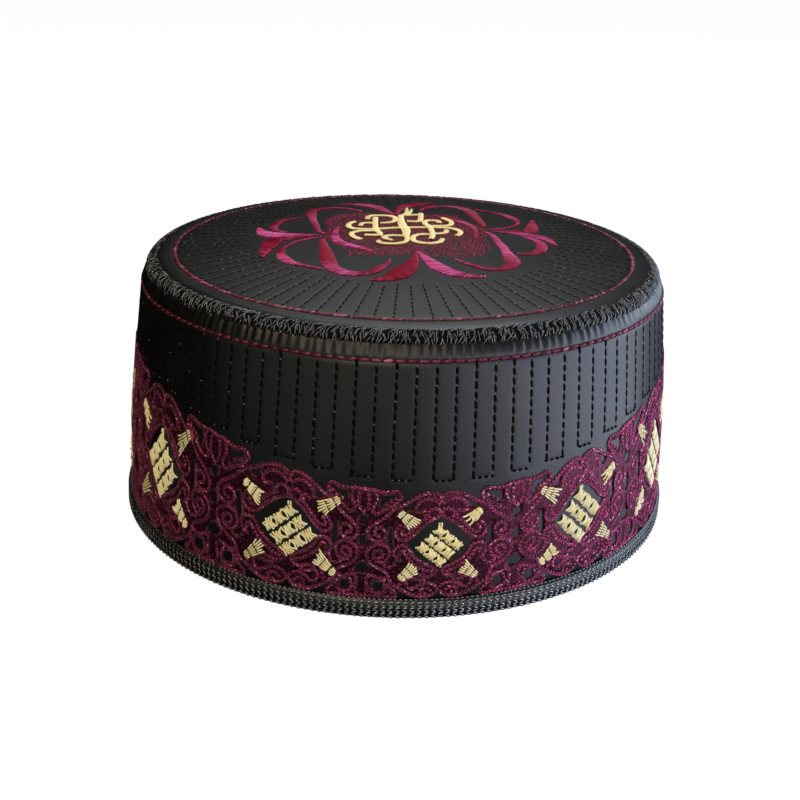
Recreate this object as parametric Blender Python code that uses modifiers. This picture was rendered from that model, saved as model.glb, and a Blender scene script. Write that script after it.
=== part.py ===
"""A round, quilted prayer cap with a straight side and a slightly domed top.

The cap is sewn from four pieces, and each is one object here: the side wall,
the crown, the overcast seam that joins the two, and the binding folded round
the lower edge. Metres, +Z up, with the origin on the table under the middle
of the cap, and the front of the cap towards -Y.
"""
import math

import bpy

# Driving dimensions
BASE_RADIUS = 0.0930
WALL_LINE_HEIGHT = 0.0765
WALL_LINE_RADIUS = 0.0857
CROWN_RING_RADIUS = 0.0750
CROWN_RING_HEIGHT = 0.0849
CROWN_HEIGHT = 0.0892
WALL_BULGE = 0.0010
# The cap leans a little: its crown stands this far towards +X of its lower edge
CROWN_LEAN = 0.0012

# Cloth and thread
CLOTH = 0.0020
BINDING = 0.00105
BINDING_HEIGHT = 0.0053
BINDING_EDGE = 0.0004
SEAM_WIDTH = 0.0054
SEAM_RISE = 0.0012
CLEARANCE = 0.0003

# Quilting: rows of stitches sink into the cloth, and it swells between them
WALL_LINES = 98
CROWN_LINES = 84
FRONT_LINE_ANGLE = math.radians(6.85)
LINE_DEPTH = 0.00040
LINE_SWELL = 0.00020
GATHER_SHARE = 0.6
FADE = 0.0030
CROWN_QUILT_START = 0.0510

# The quilting stops above the embroidered band, which climbs towards the sides of the cap
QUILT_FOOT_FRONT = 0.0425
QUILT_FOOT_RISE = 0.0160
BAND_FRONT_ANGLE = math.radians(8.0)

# The rounded shoulder is one curve from the wall's stitch line to the crown
SHOULDER_TOP_RADIUS = 0.0785
SHOULDER_WALL_PULL = 0.0040
SHOULDER_CROWN_PULL = 0.0034
SEAM_PLACE = 0.60
JOIN_GAP = 0.0005

# Rows of points up the outside of the wall, below its stitch line
WALL_STATIONS = (0.0013, 0.0220, 0.0430, 0.0500, 0.0580, 0.0660)
WALL_SHOULDER_STATIONS = (0.0, 0.30)
WALL_INNER_STATIONS = (0.0765, 0.0380)
# Rows of points over the crown, from the shoulder in to the middle
CROWN_SHOULDER_STATIONS = (0.82,)
CROWN_STATIONS = (0.0785, 0.0735, 0.0550, 0.0480, 0.0260, 0.0)
CROWN_INNER_STATIONS = (0.0400, 0.0760)

# Section of the overcast seam: place across its width, share of its rise
SEAM_SECTION = (
    (-0.50, 0.30),
    (-0.25, 0.85),
    (0.00, 1.00),
    (0.25, 0.85),
    (0.50, 0.30),
)


def wall_radius(height):
    """Outer face of the wall: a straight taper with a slight bulge."""
    foot = BASE_RADIUS - BINDING - CLEARANCE
    share = height / WALL_LINE_HEIGHT
    return foot + (WALL_LINE_RADIUS - foot) * share + WALL_BULGE * math.sin(math.pi * share)


def crown_height(radius):
    """Upper face of the crown: a shallow dome through the ring of stitches."""
    rise = CROWN_HEIGHT - CROWN_RING_HEIGHT
    return CROWN_HEIGHT - rise * (radius / CROWN_RING_RADIUS) ** 2


def shoulder(place):
    """A point on the shoulder curve, from 0 at the wall's stitch line to 1 on the crown."""
    lean = (wall_radius(WALL_LINE_HEIGHT) - wall_radius(WALL_LINE_HEIGHT - FADE)) / FADE
    slope = -2 * (CROWN_HEIGHT - CROWN_RING_HEIGHT) * SHOULDER_TOP_RADIUS / CROWN_RING_RADIUS**2
    start = (WALL_LINE_RADIUS, WALL_LINE_HEIGHT)
    end = (SHOULDER_TOP_RADIUS, crown_height(SHOULDER_TOP_RADIUS))
    controls = (
        start,
        (start[0] + lean * SHOULDER_WALL_PULL, start[1] + SHOULDER_WALL_PULL),
        (end[0] + SHOULDER_CROWN_PULL, end[1] + slope * SHOULDER_CROWN_PULL),
        end,
    )
    rest = 1 - place
    weights = (rest**3, 3 * rest**2 * place, 3 * rest * place**2, place**3)
    return tuple(sum(w * point[axis] for w, point in zip(weights, controls)) for axis in (0, 1))


def shoulder_frame(place, step=0.001):
    """A shoulder point, its outward normal, and how far the curve runs for one unit of place."""
    before, after = shoulder(place - step), shoulder(place + step)
    run, climb = (after[0] - before[0]) / (2 * step), (after[1] - before[1]) / (2 * step)
    length = math.hypot(run, climb)
    return shoulder(place), (climb / length, -run / length), length


def off_shoulder(place, distance):
    """The point this far outside the shoulder curve, or inside it where distance is negative."""
    point, normal, _ = shoulder_frame(place)
    return point[0] + normal[0] * distance, point[1] + normal[1] * distance


def wall_edge(side):
    """Where the cloth ends at the join: side is -1 for the wall and 1 for the crown."""
    return SEAM_PLACE + side * JOIN_GAP / 2 / shoulder_frame(SEAM_PLACE)[2]


def smooth(value):
    value = min(max(value, 0.0), 1.0)
    return value * value * (3 - 2 * value)


def front_angle(x, y):
    """Angle round the cap from its front, towards +X."""
    return math.atan2(x, -y)


def quilt_foot(angle):
    """Height where the wall's quilting begins, above the embroidered band."""
    return QUILT_FOOT_FRONT + QUILT_FOOT_RISE * math.sin(angle - BAND_FRONT_ANGLE) ** 2


def line_wave(angle, lines):
    """How far the cloth stands out: lowest on a row of stitches and highest midway to the next."""
    in_line = 0.5 + 0.5 * math.cos(lines * (angle - FRONT_LINE_ANGLE))
    return LINE_SWELL * (1 - in_line) - LINE_DEPTH * in_line


def quilt_wall(point):
    radius = math.hypot(point.x, point.y)
    if radius < wall_radius(min(point.z, WALL_LINE_HEIGHT)) - CLOTH / 2 and point.z < WALL_LINE_HEIGHT:
        return
    angle = front_angle(point.x, point.y)
    quilted = smooth((point.z - quilt_foot(angle)) / FADE)
    quilted *= smooth((WALL_LINE_HEIGHT - point.z) / FADE)
    gathered = GATHER_SHARE * smooth((point.z - WALL_LINE_HEIGHT) / FADE)
    shift = line_wave(angle, WALL_LINES) * max(quilted, gathered)
    point.x += shift * point.x / radius
    point.y += shift * point.y / radius


def quilt_crown(point):
    radius = math.hypot(point.x, point.y)
    if radius < CROWN_QUILT_START or point.z < crown_height(radius) - CLOTH / 2:
        return
    quilted = smooth((radius - CROWN_QUILT_START) / FADE)
    quilted *= smooth((CROWN_RING_RADIUS + FADE / 2 - radius) / FADE)
    point.z += line_wave(front_angle(point.x, point.y), CROWN_LINES) * quilted


def material(name, colour, roughness):
    made = bpy.data.materials.new(name)
    made.use_nodes = True
    shader = made.node_tree.nodes["Principled BSDF"]
    shader.inputs["Base Color"].default_value = (*colour, 1)
    shader.inputs["Roughness"].default_value = roughness
    shader.inputs["Metallic"].default_value = 0.0
    return made


def turned(name, section, steps, finish, closed=True, shape=None, first_angle=0.0):
    """Turns a section of (radius, height) points round the Z axis, then lets shape move its points."""
    count = len(section)
    edges = [(i, i + 1) for i in range(count - 1)]
    if closed:
        edges.append((count - 1, 0))
    # The first column lies on a row of stitches, so the section starts turned to it
    turn = first_angle - math.pi / 2
    points = [(r * math.cos(turn), r * math.sin(turn), z) for r, z in section]
    outline = bpy.data.meshes.new(name + "_section")
    outline.from_pydata(points, edges, [])
    lathe = bpy.data.objects.new(name + "_section", outline)
    bpy.context.scene.collection.objects.link(lathe)
    screw = lathe.modifiers.new("turn", "SCREW")
    screw.axis = "Z"
    screw.steps = steps
    screw.render_steps = steps
    screw.use_merge_vertices = True
    screw.merge_threshold = 0.00001
    graph = bpy.context.evaluated_depsgraph_get()
    mesh = bpy.data.meshes.new_from_object(lathe.evaluated_get(graph))
    bpy.data.objects.remove(lathe)
    bpy.data.meshes.remove(outline)
    mesh.name = name
    for vertex in mesh.vertices:
        if shape:
            shape(vertex.co)
        vertex.co.x += CROWN_LEAN * vertex.co.z / CROWN_HEIGHT
    mesh.shade_smooth()
    mesh.set_sharp_from_angle(angle=math.radians(40))
    mesh.materials.append(finish)
    made = bpy.data.objects.new(name, mesh)
    cap.objects.link(made)
    return made


def make_side_wall(finish):
    edge = wall_edge(-1)
    outer = [shoulder(edge)]
    outer += [shoulder(place) for place in reversed(WALL_SHOULDER_STATIONS)]
    outer += [(wall_radius(height), height) for height in reversed(WALL_STATIONS)]
    foot = WALL_STATIONS[0]
    inner = [(wall_radius(foot) - CLOTH, foot)]
    inner += [(wall_radius(height) - CLOTH, height) for height in reversed(WALL_INNER_STATIONS)]
    inner += [off_shoulder(edge, -CLOTH)]
    return turned(
        "side_wall", outer + inner, 2 * WALL_LINES, finish, shape=quilt_wall, first_angle=FRONT_LINE_ANGLE
    )


def make_crown_top(finish):
    edge = wall_edge(1)
    inner = [(0.0, CROWN_HEIGHT - CLOTH)]
    inner += [(radius, crown_height(radius) - CLOTH) for radius in CROWN_INNER_STATIONS]
    inner += [off_shoulder(edge, -CLOTH)]
    outer = [(radius, crown_height(radius)) for radius in reversed(CROWN_STATIONS)]
    outer += [shoulder(place) for place in reversed(CROWN_SHOULDER_STATIONS)]
    outer += [shoulder(edge)]
    return turned(
        "crown_top",
        outer + list(reversed(inner)),
        2 * CROWN_LINES,
        finish,
        closed=False,
        shape=quilt_crown,
        first_angle=FRONT_LINE_ANGLE,
    )


def make_crown_seam(finish):
    """The roll of overcast thread lies on the cloth over the join."""
    length = shoulder_frame(SEAM_PLACE)[2]
    upper = []
    lower = []
    for across, share in SEAM_SECTION:
        place = SEAM_PLACE + across * SEAM_WIDTH / length
        upper.append(off_shoulder(place, CLEARANCE + LINE_SWELL + share * SEAM_RISE))
        lower.append(off_shoulder(place, CLEARANCE + LINE_SWELL))
    section = list(reversed(upper)) + lower[::2]
    return turned("crown_seam", section, WALL_LINES, finish)


def make_hem_binding(finish):
    """A folded tape: an outer leg, a flat floor that the cap rests on, and an inner leg."""
    floor = WALL_STATIONS[0] - CLEARANCE
    top = BINDING_HEIGHT
    low = BINDING_EDGE
    high = top - BINDING_EDGE
    outside = CLEARANCE + BINDING
    inside = -CLOTH - CLEARANCE - BINDING
    section = [
        (wall_radius(top) + CLEARANCE, top),
        (wall_radius(top) + outside - BINDING_EDGE, top),
        (wall_radius(high) + outside, high),
        (wall_radius(low) + outside, low),
        (wall_radius(0) + outside - BINDING_EDGE, 0.0),
        (wall_radius(0) + inside + BINDING_EDGE, 0.0),
        (wall_radius(low) + inside, low),
        (wall_radius(high) + inside, high),
        (wall_radius(top) + inside + BINDING_EDGE, top),
        (wall_radius(top) - CLOTH - CLEARANCE, top),
        (wall_radius(floor) - CLOTH - CLEARANCE, floor),
        (wall_radius(floor) + CLEARANCE, floor),
    ]
    return turned("hem_binding", section, WALL_LINES, finish)


for old in list(bpy.data.objects):
    bpy.data.objects.remove(old)

cap = bpy.data.collections.new("prayer_cap")
bpy.context.scene.collection.children.link(cap)

cloth = material("charcoal_cloth", (0.035, 0.037, 0.042), 0.55)
thread = material("black_thread", (0.012, 0.012, 0.014), 0.50)
braid = material("slate_braid", (0.090, 0.105, 0.130), 0.65)

make_side_wall(cloth)
make_crown_top(cloth)
make_crown_seam(thread)
make_hem_binding(braid)
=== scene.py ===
# %% [markdown]
# A quilted prayer cap
#
# This lesson dresses the plain model of a round prayer cap. The cap has a straight side of dark,
# softly shining cloth quilted by rows of black stitches, an embroidered band round the lower half,
# a slightly domed crown with a rosette and a gold knot, an overcast seam where the crown meets the
# side, and a braid round the lower edge. Almost all of it repeats, so Geometry Nodes do most of
# the work, and short Python functions say where things go.

# %% Load the plain model
import math
import random
from functools import partial

import bpy
import numpy as np
from mathutils import Matrix, Vector


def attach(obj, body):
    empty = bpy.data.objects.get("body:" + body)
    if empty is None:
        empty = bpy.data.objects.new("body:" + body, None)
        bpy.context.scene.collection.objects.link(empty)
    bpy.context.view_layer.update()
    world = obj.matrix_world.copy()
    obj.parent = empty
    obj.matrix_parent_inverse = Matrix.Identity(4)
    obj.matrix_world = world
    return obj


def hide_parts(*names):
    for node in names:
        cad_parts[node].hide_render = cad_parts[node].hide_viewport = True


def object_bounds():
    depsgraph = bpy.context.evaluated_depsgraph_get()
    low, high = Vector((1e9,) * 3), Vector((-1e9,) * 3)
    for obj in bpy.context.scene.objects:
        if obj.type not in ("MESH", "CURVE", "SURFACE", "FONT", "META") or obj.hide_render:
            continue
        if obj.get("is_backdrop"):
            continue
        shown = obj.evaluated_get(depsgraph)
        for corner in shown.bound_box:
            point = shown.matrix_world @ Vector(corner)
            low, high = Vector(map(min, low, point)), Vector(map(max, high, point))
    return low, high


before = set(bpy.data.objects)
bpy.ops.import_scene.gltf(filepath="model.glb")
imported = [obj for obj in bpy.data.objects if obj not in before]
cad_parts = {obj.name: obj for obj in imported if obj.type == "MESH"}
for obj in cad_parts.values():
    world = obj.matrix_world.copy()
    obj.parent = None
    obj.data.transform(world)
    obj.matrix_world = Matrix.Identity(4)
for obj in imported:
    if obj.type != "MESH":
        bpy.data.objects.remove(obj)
cad_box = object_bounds()


def in_mm(points):
    """Points in whole tenths of a millimetre, to print."""
    return [[round(value * 1000, 1) for value in point] for point in points]


print("plain model:", sorted(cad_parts), in_mm(cad_box))

# %% [markdown]
# The camera looks down on the cap from a little above, as a buyer looks at a hat on a counter.
# Its place was worked out from the photograph: the height, the distance and the focal length
# together give the ellipses of the lower edge and the crown their right openness. It is built
# from an aim point, a distance and two angles, so that each number can be read on its own.

# %% Camera
MM = 0.001
VIEW_HEIGHT_ANGLE = math.radians(22.36)
VIEW_ROLL = math.radians(1.62)
VIEW_DISTANCE = 0.4289
VIEW_AIM = Vector((0.0013, 0.0, 0.0300))
FOCAL_PIXELS = 1228.0
FRAME_PIXELS = 800
SENSOR_WIDTH = 36.0
NEAREST_SEEN = 0.02


def show(name, data):
    """A new object of this data, in the scene."""
    made = bpy.data.objects.new(name, data)
    bpy.context.scene.collection.objects.link(made)
    return made


def make_camera():
    back = Vector((0, -math.cos(VIEW_HEIGHT_ANGLE), math.sin(VIEW_HEIGHT_ANGLE)))
    level = Vector((1, 0, 0))
    upright = back.cross(level)
    right = math.cos(VIEW_ROLL) * level + math.sin(VIEW_ROLL) * upright
    up = math.cos(VIEW_ROLL) * upright - math.sin(VIEW_ROLL) * level
    camera = show("camera", bpy.data.cameras.new("camera"))
    camera.data.sensor_width = SENSOR_WIDTH
    camera.data.lens = SENSOR_WIDTH * FOCAL_PIXELS / FRAME_PIXELS
    camera.data.clip_start = NEAREST_SEEN
    turn = Matrix((right, up, back)).transposed().to_4x4()
    camera.matrix_world = Matrix.Translation(VIEW_AIM + back * VIEW_DISTANCE) @ turn
    bpy.context.scene.camera = camera
    return camera


print("camera lens in mm:", round(make_camera().data.lens, 1))

# %% [markdown]
# The cap stands on a plain pale table in a pale room. Dark satin shows its shape by what it
# mirrors, so the lights matter as much as the cloth. A wide cool window stands on the right, low,
# and the table throws some of its light back up. A pale wall at the front right and a dim corner
# at the front left keep the side from going black. A warm lamp high on the left and a softer one
# in front light the threads but hardly show in the cloth. Two lights behind draw the gleam on the
# crown. The table and the room are seen but light nothing: that is a setting of the object and of
# the world, not of any material. Each light is placed by its direction from the cap's front.

# %% Table and lights
TABLE_SIZE = 12.0
TABLE_COLOUR = (0.1, 0.1, 0.1, 1)
TABLE_GLOW = 0.98
LIGHT_DISTANCE = 1.15
LIGHT_AIM = Vector((0, 0, 0.045))
LIGHTS = (
    # name, degrees to the right of the front, degrees up, width, height, watts, colour
    ("window", 105, 9, 1.80, 0.50, 11.8, (0.70, 0.81, 1.0)),
    ("table_right", 80, -13, 1.40, 0.40, 6.9, (0.76, 0.80, 1.0)),
    ("pale_wall", 36, 0, 0.90, 0.50, 3.3, (0.95, 0.91, 1.0)),
    ("room", -8, 20, 0.60, 0.60, 3.1, (1.0, 0.92, 0.74)),
    ("dim_corner", -42, 4, 1.10, 0.60, 0.85, (0.84, 1.0, 0.78)),
    ("warm_lamp", -36, 58, 0.55, 0.55, 6.0, (1.0, 0.76, 0.46)),
    ("behind", 179, 50, 0.55, 0.55, 1.75, (1.0, 1.0, 0.98)),
    ("skylight", 135, 70, 0.55, 0.55, 4.4, (0.95, 0.97, 1.0)),
)


def new_material(name):
    material = bpy.data.materials.new(name)
    material.use_nodes = True
    return material


def shader_of(material):
    return next(n for n in material.node_tree.nodes if n.type == "BSDF_PRINCIPLED")


def set_looks(material, looks):
    """Fills the shader's own sockets, each named with _ for a space."""
    for label, value in looks.items():
        shader_of(material).inputs[label.replace("_", " ")].default_value = value


def make_table():
    half = TABLE_SIZE / 2
    corners = [(-half, -half, 0), (half, -half, 0), (half, half, 0), (-half, half, 0)]
    mesh = bpy.data.meshes.new("table")
    mesh.from_pydata(corners, [], [(0, 1, 2, 3)])
    pale = new_material("pale_table")
    glow = {"Emission_Color": (1, 1, 1, 1), "Emission_Strength": TABLE_GLOW}
    set_looks(pale, {"Base_Color": TABLE_COLOUR, "Roughness": 0.9, **glow})
    mesh.materials.append(pale)
    table = show("table", mesh)
    table.visible_diffuse = False
    table.visible_glossy = False
    table.visible_shadow = False
    table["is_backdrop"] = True


def make_light(name, across, up, width, height, watts, colour):
    lamp = bpy.data.lights.new(name, "AREA")
    lamp.shape = "RECTANGLE"
    lamp.size = width
    lamp.size_y = height
    lamp.energy = watts
    lamp.color = colour
    light = show(name, lamp)
    across, up = math.radians(across), math.radians(up)
    away = Vector((math.sin(across) * math.cos(up), -math.cos(across) * math.cos(up), math.sin(up)))
    light.location = LIGHT_AIM + away * LIGHT_DISTANCE
    light.rotation_euler = away.to_track_quat("Z", "Y").to_euler()
    return name


def make_room():
    """A pale world that the camera sees and that lights nothing."""
    world = bpy.data.worlds.new("pale_room")
    bpy.context.scene.world = world
    world.use_nodes = True
    colour = world.node_tree.nodes["Background"].inputs["Color"]
    colour.default_value = (TABLE_GLOW, TABLE_GLOW, TABLE_GLOW, 1)
    world.cycles_visibility.diffuse = False
    world.cycles_visibility.glossy = False
    bpy.context.scene.view_settings.view_transform = "Standard"


make_table()
print("lights:", [make_light(*row) for row in LIGHTS])
make_room()

# %% [markdown]
# The cap is turned on a lathe, so to speak: one section line goes round. These few functions give
# that section: the slightly bulging taper of the side, the shallow dome of the crown, and the
# rounded shoulder between them, which is one Bezier curve. Every stitch and thread asks them
# where the cloth is. Angles run from the front of the cap, -Y, towards +X.

# %% The cap's section
WALL_FOOT_RADIUS = 91.65 * MM
WALL_LINE_HEIGHT = 76.5 * MM
WALL_LINE_RADIUS = 85.7 * MM
WALL_BULGE = 1.0 * MM
CROWN_RING_RADIUS = 75.0 * MM
CROWN_RING_HEIGHT = 84.9 * MM
CROWN_HEIGHT = 89.2 * MM
CROWN_LEAN = 1.2 * MM
SHOULDER_TOP_RADIUS = 78.5 * MM
SHOULDER_WALL_PULL = 4.0 * MM
SHOULDER_CROWN_PULL = 3.4 * MM
SEAM_PLACE = 0.60
CLOTH = 2.0 * MM
LENGTH_STEP = 0.1 * MM
PLACE_STEP = 0.0005


def wall_radius(height):
    share = height / WALL_LINE_HEIGHT
    taper = WALL_FOOT_RADIUS + (WALL_LINE_RADIUS - WALL_FOOT_RADIUS) * share
    return taper + WALL_BULGE * math.sin(math.pi * share)


def crown_height(radius):
    return CROWN_HEIGHT - (CROWN_HEIGHT - CROWN_RING_HEIGHT) * (radius / CROWN_RING_RADIUS) ** 2


def shoulder(place):
    """A point on the shoulder, from 0 at the wall's stitch line to 1 on the crown."""
    step = 3 * MM
    lean = (wall_radius(WALL_LINE_HEIGHT) - wall_radius(WALL_LINE_HEIGHT - step)) / step
    slope = -2 * (CROWN_HEIGHT - CROWN_RING_HEIGHT) * SHOULDER_TOP_RADIUS / CROWN_RING_RADIUS**2
    start = (WALL_LINE_RADIUS, WALL_LINE_HEIGHT)
    end = (SHOULDER_TOP_RADIUS, crown_height(SHOULDER_TOP_RADIUS))
    controls = (
        start,
        (start[0] + lean * SHOULDER_WALL_PULL, start[1] + SHOULDER_WALL_PULL),
        (end[0] + SHOULDER_CROWN_PULL, end[1] + slope * SHOULDER_CROWN_PULL),
        end,
    )
    rest = 1 - place
    weights = (rest**3, 3 * rest**2 * place, 3 * rest * place**2, place**3)
    return tuple(sum(w * point[axis] for w, point in zip(weights, controls)) for axis in (0, 1))


def on_section(curve, place, lift=0.0, step=PLACE_STEP):
    """A point of a section curve, moved out by lift, and the outward normal, as (radius, height)."""
    before, after = curve(place - step), curve(place + step)
    run, climb = after[0] - before[0], after[1] - before[1]
    length = math.hypot(run, climb)
    normal = (climb / length, -run / length)
    radius, height = curve(place)
    return (radius + normal[0] * lift, height + normal[1] * lift), normal


def wall_curve(height):
    return wall_radius(height), height


def crown_curve(place):
    """The crown as a section curve: place is minus the radius, so that it runs on from the shoulder."""
    return -place, crown_height(-place)


def turned(pairs, angle):
    """Each (radius, height) at an angle round the cap."""
    return [Vector((r * math.sin(angle), -r * math.cos(angle), height)) for r, height in pairs]


def on_wall(angle, height, lift=0.0):
    return turned(on_section(wall_curve, height, lift, LENGTH_STEP), angle)


def on_shoulder(angle, place, lift=0.0):
    return turned(on_section(shoulder, place, lift), angle)


def on_crown(angle, radius, lift=0.0):
    return turned(on_section(crown_curve, -radius, lift, LENGTH_STEP), angle)


print("shoulder from and to:", in_mm((shoulder(0), shoulder(1))))

# %% [markdown]
# Geometry Nodes trees are long to build link by link, so a small class lets a script write them
# as sums: a Field is one output socket, and each arithmetic sign between two Fields adds a Math
# node. add() makes a node, fills its inputs with Fields or plain values, and gives its first
# output as a Field. Another output of the same node is asked for by name.

# %% Helpers for node trees
class Field:
    """An output socket that can be added, subtracted and multiplied; each sign becomes a node."""

    def __init__(self, socket):
        self.socket = socket
        self.tree = socket.id_data

    def __getitem__(self, name):
        """Another output of the same node."""
        return Field(live(self.socket.node.outputs, name))

    def math(self, operation, *others):
        return add(self.tree, "ShaderNodeMath", dict(enumerate((self, *others))), operation=operation)

    def __add__(self, other):
        return self.math("ADD", other)

    def __sub__(self, other):
        return self.math("SUBTRACT", other)

    def __mul__(self, other):
        return self.math("MULTIPLY", other)

    def ramp(self, start, end):
        """0 before start, 1 after end, and smooth between them."""
        values = {"Value": self, "From Min": start, "From Max": end}
        return add(self.tree, "ShaderNodeMapRange", values, interpolation_type="SMOOTHSTEP")


def live(sockets, name):
    """The socket in use of this name: some nodes keep hidden twins for other kinds of data."""
    return next(socket for socket in sockets if socket.name == name and socket.enabled)


def add(tree, kind, inputs=None, **properties):
    """Makes a node and gives its first output. Inputs, by name or number, are joined or filled."""
    node = tree.nodes.new(kind)
    for key, value in properties.items():
        setattr(node, key, value)
    for key, value in (inputs or {}).items():
        socket = node.inputs[key] if isinstance(key, int) else live(node.inputs, key)
        if isinstance(value, Field):
            tree.links.new(value.socket, socket)
        else:
            socket.default_value = value
    return next((Field(socket) for socket in node.outputs if socket.enabled), None)


def new_tree(name, **kinds):
    """A Geometry Nodes tree, with the names of its inputs listed by kind, and its input fields."""
    tree = bpy.data.node_groups.new(name, "GeometryNodeTree")
    for way in ("INPUT", "OUTPUT"):
        tree.interface.new_socket("Geometry", in_out=way, socket_type="NodeSocketGeometry")
    for kind, labels in kinds.items():
        for label in labels.split(", "):
            tree.interface.new_socket(label, in_out="INPUT", socket_type="NodeSocket" + kind)
    entry = tree.nodes.new("NodeGroupInput")
    return tree, {socket.name: Field(socket) for socket in entry.outputs if socket.name}


def end_tree(tree, geometry, material):
    """Every tree ends alike: real geometry, smooth shading and a material."""
    real = add(tree, "GeometryNodeRealizeInstances", {"Geometry": geometry})
    smooth = add(tree, "GeometryNodeSetShadeSmooth", {"Geometry": real})
    painted = add(tree, "GeometryNodeSetMaterial", {"Geometry": smooth, "Material": material})
    add(tree, "NodeGroupOutput", {0: painted})
    return tree


def vector(tree, x, y, z):
    return add(tree, "ShaderNodeCombineXYZ", {"X": x, "Y": y, "Z": z})


def attribute(tree, name, kind="FLOAT"):
    return add(tree, "GeometryNodeInputNamedAttribute", {"Name": name}, data_type=kind)


print("node helpers ready")

# %% [markdown]
# Each piece starts as a guide: a mesh of bare edges, one chain of points for each row of stitches
# or each thread, with the cloth's outward direction kept at every point. A tree turns the guides
# into the piece. grow() runs the tree, keeps the result as a plain mesh and leans it: the real
# cap's crown stands a little to one side of its lower edge, so every point shifts with height.

# %% Guides, and growing a piece from them
# One mark is how far a strand's colour is painted towards a paler colour: a painted highlight.
MARKS = {"thick": 1.0, "bright": 0.0, "side": 1.0}


def mark_points(mesh, outward, marks):
    """Keeps the outward direction and these named values at each point of a guide."""
    mesh.attributes.new("outward", "FLOAT_VECTOR", "POINT").data.foreach_set("vector", outward)
    for label, values in marks.items():
        mesh.attributes.new(label, "FLOAT", "POINT").data.foreach_set("value", values)
    return mesh


def guide_mesh(name, chains):
    """Chains of (point, outward) and perhaps the marks in MARKS, as edges."""
    points, outward, edges = [], [], []
    marks = {label: [] for label in MARKS}
    for chain in chains:
        first = len(points)
        for point, direction, *given in chain:
            points.append(point)
            outward.extend(direction)
            for place, label in enumerate(MARKS):
                marks[label].append(given[place] if place < len(given) else MARKS[label])
        edges.extend((i, i + 1) for i in range(first, len(points) - 1))
    mesh = bpy.data.meshes.new(name + "_guide")
    mesh.from_pydata(points, edges, [])
    return mark_points(mesh, outward, marks)


def lean(mesh):
    places = np.empty(len(mesh.vertices) * 3)
    mesh.vertices.foreach_get("co", places)
    places = places.reshape(-1, 3)
    places[:, 0] += CROWN_LEAN * places[:, 2] / CROWN_HEIGHT
    mesh.vertices.foreach_set("co", places.ravel())
    mesh.update()


def settle(name, mesh, slot, replaced=()):
    """The finished piece: a plain mesh at the origin that rides on the cap."""
    lean(mesh)
    mesh.name = name
    piece = show(name, mesh)
    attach(piece, "root")
    if replaced:
        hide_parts(*replaced)
    mesh.calc_loop_triangles()
    print(f"{name}: {len(mesh.loop_triangles)} triangles")
    return piece


def grow(name, guide, tree, slot, replaced=(), **given):
    """Runs a tree on a guide and settles what grew. foot_rise=... sets the input Foot Rise."""
    seed = show(name + "_seed", guide)
    modifier = seed.modifiers.new(tree.name, "NODES")
    modifier.node_group = tree
    sockets = {s.name: s.identifier for s in tree.interface.items_tree if s.in_out == "INPUT"}
    for label, value in given.items():
        modifier[sockets[label.replace("_", " ").title()]] = value
    graph = bpy.context.evaluated_depsgraph_get()
    mesh = bpy.data.meshes.new_from_object(seed.evaluated_get(graph))
    bpy.data.objects.remove(seed)
    for left in [a.name for a in mesh.attributes if a.name in ("outward", "thick", "side")]:
        mesh.attributes.remove(mesh.attributes[left])
    return settle(name, mesh, slot, replaced)


print("growing ready")

# %% [markdown]
# Two trees make most of the sewing. The first lays short stitches end to end along its guides: each
# is a small, flattened bead, longer than wide, turned to follow the row and to lie on the cloth.
# Real stitches are never all alike, so each one turns and swells a little by a seeded random
# number. Slant turns them across the row, to one side or the other as the guide's side says, which
# makes a row look twisted or plaited. The last of the number inputs is the share of stitches whose
# colour is painted paler, as if they caught the light: painted highlights.

# %% Tree: rows of stitches
BEAD_SIDES = 6
BEAD_RINGS = 3


def lay_beads(tree, points, lying, turn, size, sides, chosen=True):
    """A small bead on each point, lying on the cloth and turned there by this much."""
    node = partial(add, tree)
    twist = node("FunctionNodeEulerToRotation", {"Euler": vector(tree, 0.0, 0.0, turn)})
    both = {"Rotation": lying, "Rotate By": twist}
    placed = node("FunctionNodeRotateRotation", both, rotation_space="LOCAL")
    bead = node("GeometryNodeMeshUVSphere", {"Segments": sides, "Rings": BEAD_RINGS, "Radius": 1.0})
    lengthwise = node("GeometryNodeTransform", {"Geometry": bead, "Rotation": (0.0, math.pi / 2, 0.0)})
    where = {"Points": points, "Selection": chosen, "Rotation": placed}
    return node("GeometryNodeInstanceOnPoints", {**where, "Instance": lengthwise, "Scale": size})


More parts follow.
